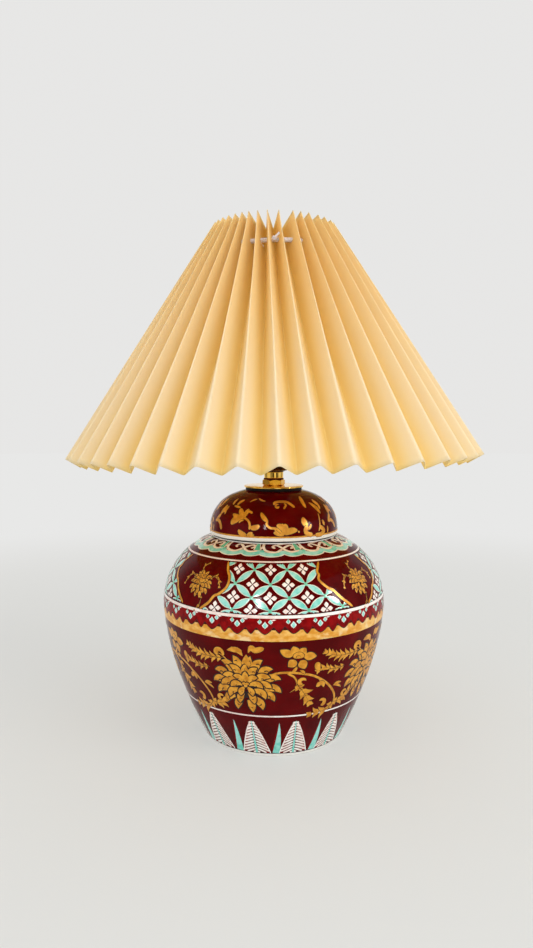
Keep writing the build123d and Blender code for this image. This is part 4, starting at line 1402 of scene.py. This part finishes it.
def angles_seen(columns, reach, height):
    """Angles at which an edge shows in these columns, out to where the line of sight only touches it."""
    touching = np.arccos(reach(0.0) / -eye[1])
    angle = np.linspace(-touching, touching, 2000)
    return np.interp(columns, photo_x(round_axis(reach(angle), angle, height)), angle)


def all_round(seen):
    """The seen angles, and the rest spread evenly over the back with a little wobble."""
    hidden = pleat_count - len(seen)
    share = np.arange(1, hidden + 1) / (hidden + 1)
    back = seen[-1] + (seen[0] + 2 * np.pi - seen[-1]) * share
    return np.concatenate([seen, back + chance.normal(0, 0.012, hidden)])


def with_valleys(mountains):
    """Fold angles in turn: each mountain, then a valley halfway to the next mountain."""
    after = np.append(mountains[1:], mountains[0] + 2 * np.pi)
    valleys = mountains + (after - mountains) * (0.5 + chance.normal(0, 0.02, len(mountains)))
    return np.stack([mountains, valleys], axis=-1).ravel()


hem_angle = with_valleys(all_round(angles_seen(hem_columns_seen, hem_reach, hem_height)))
top_angle = with_valleys(all_round(angles_seen(top_columns_seen, top_reach, top_height)))
is_valley = np.arange(2 * pleat_count) % 2
hem_valleys = hem_reach(hem_angle) - hem_valley_in * is_valley
top_valleys = top_radius - top_valley_in * is_valley
hem_points = round_axis(hem_valleys, hem_angle, hem_height - hem_valley_down * is_valley)
top_points = round_axis(top_valleys, top_angle, top_height - top_valley_down * is_valley)
hem_tilt = 0.0125 * np.sin(hem_angle)[:, None]  # the hem hangs a little lower on the left
hem_points += (top_points - hem_points) * hem_tilt
for edge, angles in (("hem", hem_angle), ("top", top_angle)):
    steps = np.degrees(np.diff(angles[::2]))
    print(edge, "steps between mountains:", steps.min().round(1), "to", steps.max().round(1), "degrees")

# %% [markdown]
# ## Panels and rounded folds
# Real folds are never knife-sharp. A Bevel modifier could round them all alike, but the card is pressed
# sharp at the gather and opens towards the hem. So each fold is a parabola between its two panels that grows
# downwards, which catches the light in a pale stripe along every mountain. Each point also gets a mark, 0 in
# a valley and up to 1 on a crest. The card's colour uses it to paint shade into the valleys and a highlight
# onto the crests.

# %% Folded strip
card_rows, fold_steps, panel_shares = 50, 7, (0.18, 0.5, 0.82)
up = np.linspace(0, 1, card_rows)[:, None, None]
folds = hem_points * (1 - up) + top_points * up  # rows, folds, xyz
mountain_round, valley_round = 0.9 + 3.1 * (1 - up) ** 1.7, 0.5 + 1.2 * (1 - up)
rounding = mountain_round * (1 - is_valley)[:, None] + valley_round * is_valley[:, None]


def towards(neighbour):
    """Place on the panel towards a neighbouring fold, where the rounding of this one begins."""
    away = neighbour - folds
    return folds + away * (rounding / np.linalg.norm(away, axis=-1, keepdims=True))


fold_start, fold_end = towards(np.roll(folds, 1, axis=1)), towards(np.roll(folds, -1, axis=1))
next_start = np.roll(fold_start, -1, axis=1)
card_columns, card_marks = [], []
for share in np.linspace(0, 1, fold_steps):
    column = fold_start * (1 - share) ** 2 + 2 * folds * share * (1 - share) + fold_end * share**2
    card_columns.append(column)
    card_marks.append(np.where(is_valley, 0.0, 1 - abs(share - 0.5)))
for share in panel_shares:
    card_columns.append(fold_end * (1 - share) + next_start * share)
    card_marks.append(np.where(is_valley, share, 1 - share) * 0.5)
card_grid = np.stack(card_columns, axis=2).reshape(card_rows, -1, 3)
card_mark = np.tile(np.stack(card_marks, axis=1).ravel(), card_rows)
print("points along the strip:", card_grid.shape[1], "and up it:", card_grid.shape[0])

# %% [markdown]
# ## Card
# The card is thin and warm white, deeper yellow towards the top, with painted shade in its valleys and a
# painted highlight on its crests. A plain matt finish would look like plaster, because much of the light that
# a pleat shows has come through the card. So a translucent shader takes half of the surface, tinted as the
# light is by the card.

# %% Card and shade
card = Finish("shade_card", Specular_IOR_Level=0.25, Roughness=0.62)
on_crest = card.mark()
# the card's colour is deeper yellow towards the top, and its translucent share is a little larger there
towards_top = card.parts(card.place())[2].ramp(0.26, 0.44)
fibres = card.noise(1.4, 4.0, (1, 1, 0.25))
panel_colour = card.mix(towards_top, colour(250, 239, 214), colour(255, 237, 182))
# painted shade: the valleys are coloured a deeper orange than the panels
valley_shade_colour = card.mix(on_crest.ramp(0.0, 0.5), colour(255, 230, 160), panel_colour)
# painted highlight: the crests are coloured a paler cream
crest_highlight_colour = card.mix(on_crest.ramp(0.5, 1.0), valley_shade_colour, colour(255, 250, 236))
card.set(
    Base_Color=card.mix(fibres.ramp(0.3, 0.8) * 0.15, crest_highlight_colour, colour(248, 222, 168)),
    Normal=card.bump(fibres, 0.03, 0.5),
)
card.blend(towards_top * 0.06 + 0.5, card.node("BsdfTranslucent", {}, {"Color": colour(255, 236, 162)}))

shade = add_piece("pleated_card", [card_grid], card, "shade", close_columns=True, marks=[card_mark])
thickness = shade.modifiers.new("thickness", "SOLIDIFY")
thickness.thickness, thickness.offset = 0.5 * MM, -1
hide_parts("shade_pleats")
print("card faces:", len(shade.data.polygons))

# %% [markdown]
# ## Gathering cord
# A soft cotton cord runs through a hole in every panel and holds the pleats together. A plain tube with a
# bump could stand for it, but its strands show in its outline, so it is laid from three strands, each a
# helix round the cord's own ring.


# %% Cord
def tube(centre, radius, sides=8, closed=True):
    """Round tube along a path: two directions square to it carry a circle."""
    all_the_way = np.roll(centre, -1, axis=0) - np.roll(centre, 1, axis=0)
    heading = all_the_way if closed else np.gradient(centre, axis=0)
    heading = heading / np.linalg.norm(heading, axis=1, keepdims=True)
    side = np.cross(heading, [0.13, 0.21, 1.0])
    side /= np.linalg.norm(side, axis=1, keepdims=True)
    top = np.cross(side, heading)
    angle = np.linspace(0, 2 * np.pi, sides, endpoint=False)[:, None]
    radius = np.broadcast_to(np.asarray(radius, float), len(centre))[:, None, None]
    return centre[:, None] + (side[:, None] * np.cos(angle) + top[:, None] * np.sin(angle)) * radius


cotton = Finish("white_cord", Roughness=0.85, Specular_IOR_Level=0.1, Sheen_Weight=0.3)
cotton.set(
    Base_Color=cotton.mix(cotton.noise(1.2, 3.0), colour(236, 228, 226), colour(204, 194, 200)),
    Normal=cotton.bump(cotton.noise(0.35, 2.0), 0.08),
)
strand_radius, strand_offset, twists, sag = 1.05, 0.95, 63, 0.4
cord_low, cord_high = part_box("gather_cord")
cord_height, cord_ring = (cord_low.z + cord_high.z) / 2 / MM, (cord_high.x - cord_low.x) / 2 / MM - 1.55
round_cord = np.linspace(0, 2 * np.pi, 900, endpoint=False)
strands = []
for number in range(3):
    twist = twists * round_cord + number * 2 * np.pi / 3
    reach = cord_ring + strand_offset * np.cos(twist)
    height = cord_height + strand_offset * np.sin(twist) + sag * np.sin(3 * round_cord)
    strands.append(tube(round_axis(reach, round_cord, height), strand_radius))
cord = add_piece("cotton_cord", strands, cotton, "shade", close_rows=True, close_columns=True)
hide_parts("gather_cord")
print("cord ring:", round(cord_ring, 1), "mm in radius, at", round(cord_height, 1), "mm")

# %% [markdown]
# ## Knot and ends
# At the front the cord ends in a small knot, with one short end up and a loose thread down. The knot is a
# trefoil: a closed curve that passes over and under itself by its own formula, where a knot tied by hand
# would need every crossing placed.

# %% Knot
knot_low, knot_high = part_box("gather_knot")
knot_depth = knot_low.y * 0.75 + knot_high.y * 0.25  # a quarter of the way in from the front
knot_middle = np.array([(knot_low.x + knot_high.x) / 2, knot_depth, (knot_low.z + knot_high.z) / 2]) / MM
loop = np.linspace(0, 2 * np.pi, 90, endpoint=False)
trefoil_x, trefoil_z = np.sin(loop) + 2 * np.sin(2 * loop), np.cos(loop) - 2 * np.cos(2 * loop)
trefoil = np.stack([trefoil_x, -np.sin(3 * loop) * 1.1, trefoil_z], axis=-1)
knot_tube = tube(knot_middle + trefoil * 0.5, 0.5)
knot = add_piece("cord_knot", [knot_tube], cotton, "shade", close_rows=True, close_columns=True)
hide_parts("gather_knot")

end_share = np.linspace(0, 1, 12)
end_path = knot_middle + np.stack([0.5 + 3.5 * end_share, -2.2 * end_share, 0.2 + 3.2 * end_share], axis=-1)
hang_path = curve([(-9.5, 0.0), (-10.5, -2.5), (-9.4, -4.6), (-8.2, -6.4)], 0.4)
thread_y = -cord_ring - 1.4 + 0.25 * hang_path[:, 1]
thread_path = np.stack([hang_path[:, 0], thread_y, cord_height + hang_path[:, 1]], axis=-1)
end_tubes = [tube(end_path, 1.1 - 0.2 * end_share, closed=False), tube(thread_path, 0.22, 6, closed=False)]
ends = add_piece("cord_ends", end_tubes, cotton, "shade", close_columns=True)
print("faces of knot and ends:", len(knot.data.polygons) + len(ends.data.polygons))

# %% [markdown]
# ## Finishes of the fittings
# A turned or spun piece shows faint rings round its axis, which is what makes brass read as brass and not as
# yellow plastic. Brushed metal could be made with anisotropic gloss, but rings in the relief hold up in any
# renderer. They come from noise that knows only a point's height and its distance from the axis, as a lathe
# does.


# %% Brass, steel, rubber, plastic and glass
def turned_finish(name, first, second, roughness, ring_size, depth, blotch=6.0, **constants):
    """Finish of a turned piece: two colours in blotches, with rings in its relief and in its roughness."""
    finish = Finish(name, **constants)
    x, y, z = finish.parts(finish.place())
    from_axis = finish.node("CombineXYZ", {}, {0: (x * x + y * y) ** 0.5, 1: z})
    rings = finish.noise_at(from_axis, ring_size, 3.0)
    finish.set(
        Base_Color=finish.mix(finish.noise(blotch, 3.0).ramp(0.3, 0.7), first, second),
        Roughness=rings * (roughness * 0.5) + roughness * 0.75,
        Normal=finish.bump(rings, depth),
    )
    return finish


metal, dull, moulded = {"Metallic": 1.0}, {"Specular_IOR_Level": 0.2}, {"Specular_IOR_Level": 0.4}
opal = {"Subsurface_Weight": 0.35, "Coat_Weight": 0.4}
brass = turned_finish("brass", colour(246, 204, 104), colour(232, 180, 74), 0.1, 0.5, 0.006, **metal)
satin_brass = turned_finish(
    "satin_brass", colour(238, 184, 66), colour(212, 152, 42), 0.24, 0.35, 0.01, **metal
)
bulb_metal = turned_finish(
    "bulb_metal", colour(202, 202, 200), colour(176, 176, 172), 0.22, 0.8, 0.008, **metal
)
steel = turned_finish("steel", colour(186, 188, 190), colour(150, 152, 156), 0.32, 0.5, 0.01, 3.0, **metal)
rubber = turned_finish("dark_washer", colour(11, 12, 12), colour(24, 24, 23), 0.6, 0.7, 0.03, 2.0, **dull)
fibre = turned_finish("fibre", colour(60, 14, 10), colour(84, 24, 16), 0.7, 0.25, 0.03, 1.2, **dull)
bakelite = turned_finish("bakelite", colour(38, 13, 7), colour(52, 19, 10), 0.26, 1.2, 0.02, 9.0, **moulded)
black_glass = turned_finish("black_glass", colour(8, 8, 10), colour(20, 20, 26), 0.1, 1.5, 0.03, 3.0)
steatite = turned_finish("steatite", colour(232, 228, 218), colour(212, 206, 192), 0.5, 0.6, 0.02, 2.5)
white_wire = turned_finish("white_wire", colour(240, 239, 234), colour(224, 222, 215), 0.38, 0.9, 0.03, 2.0)
opal_glass = turned_finish(
    "opal_glass", colour(246, 244, 238), colour(240, 237, 229), 0.2, 9.0, 0.01, 20.0, **opal
)
print("materials:", len(bpy.data.materials))

# %% [markdown]
# ## Pieces that only need a finish
# The CAD's own meshes are fine enough for what hardly shows: tube, washers underneath, contacts and carrier.
# They could be modelled again, but it is enough to put a finish into their material slots.

# %% CAD pieces
carrier = ["carrier_" + part for part in ("ring", "spokes", "lower_wire", "upper_wire", "ribs")]
finishes_of_nodes = [
    (rubber, ["lid_gasket", "base_rubber_washer", "cord_grommet"]),
    (satin_brass, ["threaded_tube", "holder_centre_contact", "holder_screw_shell", "holder_terminals"]),
    (steel, ["base_steel_washer", "base_nut", "holder_terminal_screws", "bulb_tip_contact"]),
    (steatite, ["holder_insert"]),
    (white_wire, carrier),
    (black_glass, ["bulb_insulator"]),
]
for finish, nodes in finishes_of_nodes:
    for node in nodes:
        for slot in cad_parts[node].material_slots:
            slot.material = finish.material
print("CAD pieces shown:", sum(len(nodes) for _, nodes in finishes_of_nodes))

# %% [markdown]
# ## Washers, disc and bead
# These are rings, so each is an outline carried round the axis. A CAD washer has knife edges, and a real one
# never does: its edge, rounded by a few tenths of a millimetre, is what catches the light. A Bevel modifier
# would do it as well, but the outline already knows its corners. It runs down its outer side, which turns
# the faces outwards.


# %% Rings on the lid
def place_of(node):
    """Lowest and highest height of a CAD node, and its largest radius, in millimetres."""
    low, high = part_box(node)
    return low.z / MM, high.z / MM, high.x / MM


def show_ring(name, node, grid, finish, slot, body="stand", close_columns=True, **settings):
    """Piece from a grid that closes round the axis, shown in place of a CAD node. Its slot is not used."""
    piece = add_piece(name, [grid], finish, body, close_rows=True, close_columns=close_columns, **settings)
    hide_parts(node)
    print(name, "faces:", len(piece.data.polygons))


def turned_ring(node, bore, edge, finish, slot):
    """Ring as large as the node, with rounded edges."""
    bottom, top, radius = place_of(node)
    corners = [(bore, top), (radius, top), (radius, bottom), (bore, bottom)]
    show_ring(node + "_fine", node, turn(rounded_outline(corners, [0.1, edge, edge, 0.1], 6)), finish, slot)


tube_radius = 5.0
turned_ring("cap_washer", tube_radius, 0.35, rubber, "dark_washer")
turned_ring("vase_cap", tube_radius, 0.55, brass, "brass")
turned_ring("fibre_washer", tube_radius, 0.25, fibre, "fibre")
turned_ring("brass_collar", tube_radius, 0.9, brass, "brass")

# %% [markdown]
# ## Nut
# The hexagonal nut could be a cylinder with six sides, but a real one is turned at its corners, which leaves
# a curved edge on each flat. Here the radius depends on the angle, and near both faces a cone cuts it off
# where it is nearer.

# %% Hexagonal nut
across_flats, first_flat, nut_edge = 17.5, np.radians(8), 0.1
flat_directions = first_flat + np.arange(3) * np.pi / 3
nut_bottom, nut_top, _ = place_of("cap_nut")
nut_angle = np.linspace(0, 2 * np.pi, 480, endpoint=False)[:, None]


def hexagon(angle, sharpness=90):
    """Radius of a hexagon: its flats lie where a direction's cosine is largest, which a high power picks."""
    pull = np.abs(np.cos(angle - flat_directions)) ** sharpness
    return across_flats / 2 / pull.sum(axis=1, keepdims=True) ** (1 / sharpness)


from_face = np.array([0.0, 0.08, 0.2, 0.4, 0.7, 1.1, 1.5])
nearest_face = np.concatenate([from_face, from_face[::-1]])
cone = across_flats / 2 - nut_edge + nearest_face * np.sqrt(3)  # thirty degrees to the face
nut_sides = np.minimum(hexagon(nut_angle), cone)
nut_bore = np.full_like(nut_angle, tube_radius)
nut_radius = np.concatenate([nut_bore, nut_sides, nut_bore], axis=1)
nut_height = np.concatenate([[nut_top], nut_top - from_face, nut_bottom + from_face[::-1], [nut_bottom]])
show_ring("cap_nut_fine", "cap_nut", round_axis(nut_radius, nut_angle, nut_height), satin_brass, "brass")
print("nut across corners:", nut_sides.max().round(3) * 2, "mm")

# %% [markdown]
# ## Threads
# Lampholder and bulb have round threads. A thread could be a spiral swept round the barrel, but then it has
# to be joined to it. Here the barrel's own radius rises and falls with height and angle together, one pitch
# a turn, and the wave fades out at both ends. The same way of moving points inwards gives the shade ring its
# grips.


# %% Threads and grips
def pull_in(grid, amount, beyond):
    """Moves each point that is further from the axis than a radius inwards by its amount."""
    radius = np.hypot(grid[..., 0], grid[..., 1])
    scale = np.where(radius > beyond, 1 - amount / radius, 1)[..., None]
    return np.concatenate([grid[..., :2] * scale, grid[..., 2:]], axis=-1)


def angles_of(grid):
    """Angle of each row round the axis, from the front towards +X."""
    return np.linspace(0, 2 * np.pi, len(grid), endpoint=False)[:, None]


def thread_depth(grid, first, last, pitch, depth):
    """Cosine wave of turns up the thread less turns round the axis, faded out over one pitch at both ends."""
    height = grid[..., 2]
    turns = height / pitch - angles_of(grid) / (2 * np.pi)
    fade = np.clip((height - first) / pitch, 0, 1) * np.clip((last - height) / pitch, 0, 1)
    return depth * (0.5 - 0.5 * np.cos(2 * np.pi * turns)) * fade


def with_more_points(outline, spacing):
    """Outline with points put into its long lengths, about spacing apart."""
    parts = []
    for start, end in zip(outline, np.roll(outline, -1, axis=0)):
        count = max(1, round(np.hypot(*(end - start)) / spacing))
        parts.append(start + (end - start) * np.linspace(0, 1, count, endpoint=False)[:, None])
    return np.concatenate(parts)


unit_square = np.array([(0, 0), (1, 0), (1, 1), (0, 1)])
print("points round a unit square, 0.3 apart:", len(with_more_points(unit_square, 0.3)))

# %% [markdown]
# ## Lampholder
# The lampholder is dark moulded plastic in two halves: a domed cap, of which the hem lets a little show, and
# a shell with an outer thread for the shade's ring. The dome could be an ellipse, but a cubic that leaves
# the wide end upright and meets the neck flat is the shape that such caps have.

# %% Lampholder's cap
holder_bottom, joint, holder_radius = place_of("holder_cap")
holder_neck, holder_neck_top = 9.7, holder_bottom + 0.6
dome_top, holder_floor = holder_bottom + 11.0, holder_bottom + 9.8
socket_radius, sleeve, insert_radius = holder_radius - 2.0, 13.2, 15.3
insert_foot, groove = joint - 6, joint - 8.1


def spline(start, heading, end, end_heading, steps=24):
    """Cubic between two points that leaves and arrives in given directions, each as strong as the chord is
    long."""
    start, end = np.array(start), np.array(end)
    share, chord = np.linspace(0, 1, steps)[:, None], np.hypot(*(end - start))
    points = start * (1 + 2 * share) * (1 - share) ** 2 + end * (3 - 2 * share) * share**2
    leaving, arriving = share * (1 - share) ** 2, (1 - share) * share**2
    return points + (np.array(heading) * leaving - np.array(end_heading) * arriving) * chord


dome = spline((holder_radius, dome_top), (0, -1), (holder_neck, holder_neck_top), (-1, 0))
holder_cap_corners = [
    (socket_radius, joint), (holder_radius, joint), *dome, (holder_neck, holder_bottom),
    (tube_radius, holder_bottom), (tube_radius, holder_floor), (sleeve, holder_floor), (sleeve, insert_foot),
    (insert_radius, insert_foot), (insert_radius, groove), (socket_radius, groove),
]
holder_cap_edges = [0.1, 0.35] + [0.0] * len(dome) + [0.15] * 8
holder_cap = turn(rounded_outline(holder_cap_corners, holder_cap_edges), 192)
show_ring("holder_cap_fine", "holder_cap", holder_cap, bakelite, "bakelite")

# %% [markdown]
# ## Shell and ring nut
# The shell goes up from the cap's joint: a flange to carry the shade, the threaded barrel, and a plain
# collar round the bulb's cap. Its ring nut has eighteen round grips. They could be cut one by one, but a
# cosine raised to a power is a row of round hollows by itself.

# %% Lampholder's shell and ring
shell_bottom, shell_top, flange_radius = place_of("holder_shell")
flange, seat, thread_top, barrel = joint + 9, joint + 12, joint + 35, 19.7
holder_pitch, holder_thread_depth = 2.5, 0.8
collar_radius, shell_bore, shell_step, plug, plug_bore = 18.6, 14.2, 16.5, 17.3, 15.4
shell_corners = [
    (shell_bore, shell_top), (collar_radius, shell_top), (collar_radius, thread_top), (barrel, thread_top),
    (barrel, seat), (flange_radius, seat), (flange_radius, flange), (holder_radius, flange),
    (holder_radius, joint), (plug, joint), (plug, shell_bottom), (plug_bore, shell_bottom),
    (plug_bore, joint + 8), (shell_bore, joint + 8), (shell_bore, joint + 10), (shell_step, joint + 10),
    (shell_step, thread_top), (shell_bore, thread_top),
]
shell_edges = [0.3, 0.6, 0.2, 0.5, 0.2, 0.5, 0.5, 0.4, 0.3] + [0.1] * 9
shell = turn(with_more_points(rounded_outline(shell_corners, shell_edges), 0.32), 180)
shell_thread = thread_depth(shell, seat + 0.4, thread_top - 0.2, holder_pitch, holder_thread_depth)
shell = pull_in(shell, shell_thread * (shell[..., 2] > seat), barrel - 0.9)
show_ring("holder_shell_fine", "holder_shell", shell, bakelite, "bakelite")

ring_bottom, ring_top, ring_radius = place_of("shade_clamp_ring")
ring_bore, grip_count, grip_depth = barrel + 0.1, 18, 1.0
ring_corners = [
    (ring_bore, ring_top), (ring_radius, ring_top), (ring_radius, ring_bottom), (ring_bore, ring_bottom),
]
clamp_ring = turn(rounded_outline(ring_corners, [0.4, 0.9, 0.9, 0.4], 6), 540)
grips = grip_depth * np.cos(grip_count / 2 * angles_of(clamp_ring)) ** 8
clamp_ring = pull_in(clamp_ring, grips, ring_radius - 2.2)
show_ring("clamp_ring_fine", "shade_clamp_ring", clamp_ring, bakelite, "bakelite", body="clamp_ring")

# %% [markdown]
# ## Bulb
# The bulb is opal glass on a rolled metal cap. Blown glass could be a stretched sphere, but a real bulb is a
# ball that eases into its neck, so its outline is a quarter circle and then a radius that changes smoothly.
# The glass has a wall, because light through a solid bulb would bend as in a lens.

# %% Bulb
glass_bottom, glass_top, glass_radius = place_of("bulb_glass")
cap_bottom, cap_top, cap_radius = place_of("bulb_cap")
cap_wall, cap_hole, glass_wall, bulb_pitch, bulb_thread_depth = 0.4, 10.5, 0.8, 3.629, 0.9
cap_corners = [
    (cap_radius - cap_wall, cap_top), (cap_radius, cap_top), (cap_radius, cap_bottom), (cap_hole, cap_bottom),
    (cap_hole, cap_bottom + cap_wall), (cap_radius - cap_wall, cap_bottom + cap_wall),
]
bulb_cap = turn(with_more_points(rounded_outline(cap_corners, [0.1, 0.1, 1.0, 0.1, 0.1, 0.6]), 0.3), 160)
cap_thread = thread_depth(bulb_cap, cap_bottom + 0.5, cap_top - 1.5, bulb_pitch, bulb_thread_depth)
bulb_cap = pull_in(bulb_cap, cap_thread, cap_radius - 0.6)
show_ring("bulb_cap_fine", "bulb_cap", bulb_cap, bulb_metal, "bulb_metal", body="bulb")


def pear(ball, neck, middle, bottom):
    """From the crown down: a quarter circle, then a radius that eases from the ball's to the neck's."""
    around = np.linspace(0, np.pi / 2, 32)
    crown = np.stack([ball * np.sin(around), middle + ball * np.cos(around)], axis=-1)
    share = np.linspace(0, 1, 36)[1:]
    eased = ball + (neck - ball) * share**2 * (3 - 2 * share)
    return np.concatenate([crown, np.stack([eased, middle + (bottom - middle) * share], axis=-1)])


ball_middle, stem_outside = glass_top - glass_radius, cap_radius - cap_wall
stem_inside = stem_outside - glass_wall
glass_outside = pear(glass_radius, cap_radius, ball_middle, cap_top)
glass_inside = pear(glass_radius - glass_wall, stem_inside, ball_middle, cap_top)[::-1]
stem = [(stem_outside, cap_top), (stem_outside, glass_bottom), (stem_inside, glass_bottom)]
envelope = turn(np.concatenate([glass_outside, stem, glass_inside]), 128)
open_at_poles = {"close_columns": False, "weld": True}
show_ring("bulb_glass_fine", "bulb_glass", envelope, opal_glass, "opal_glass", "bulb", **open_at_poles)
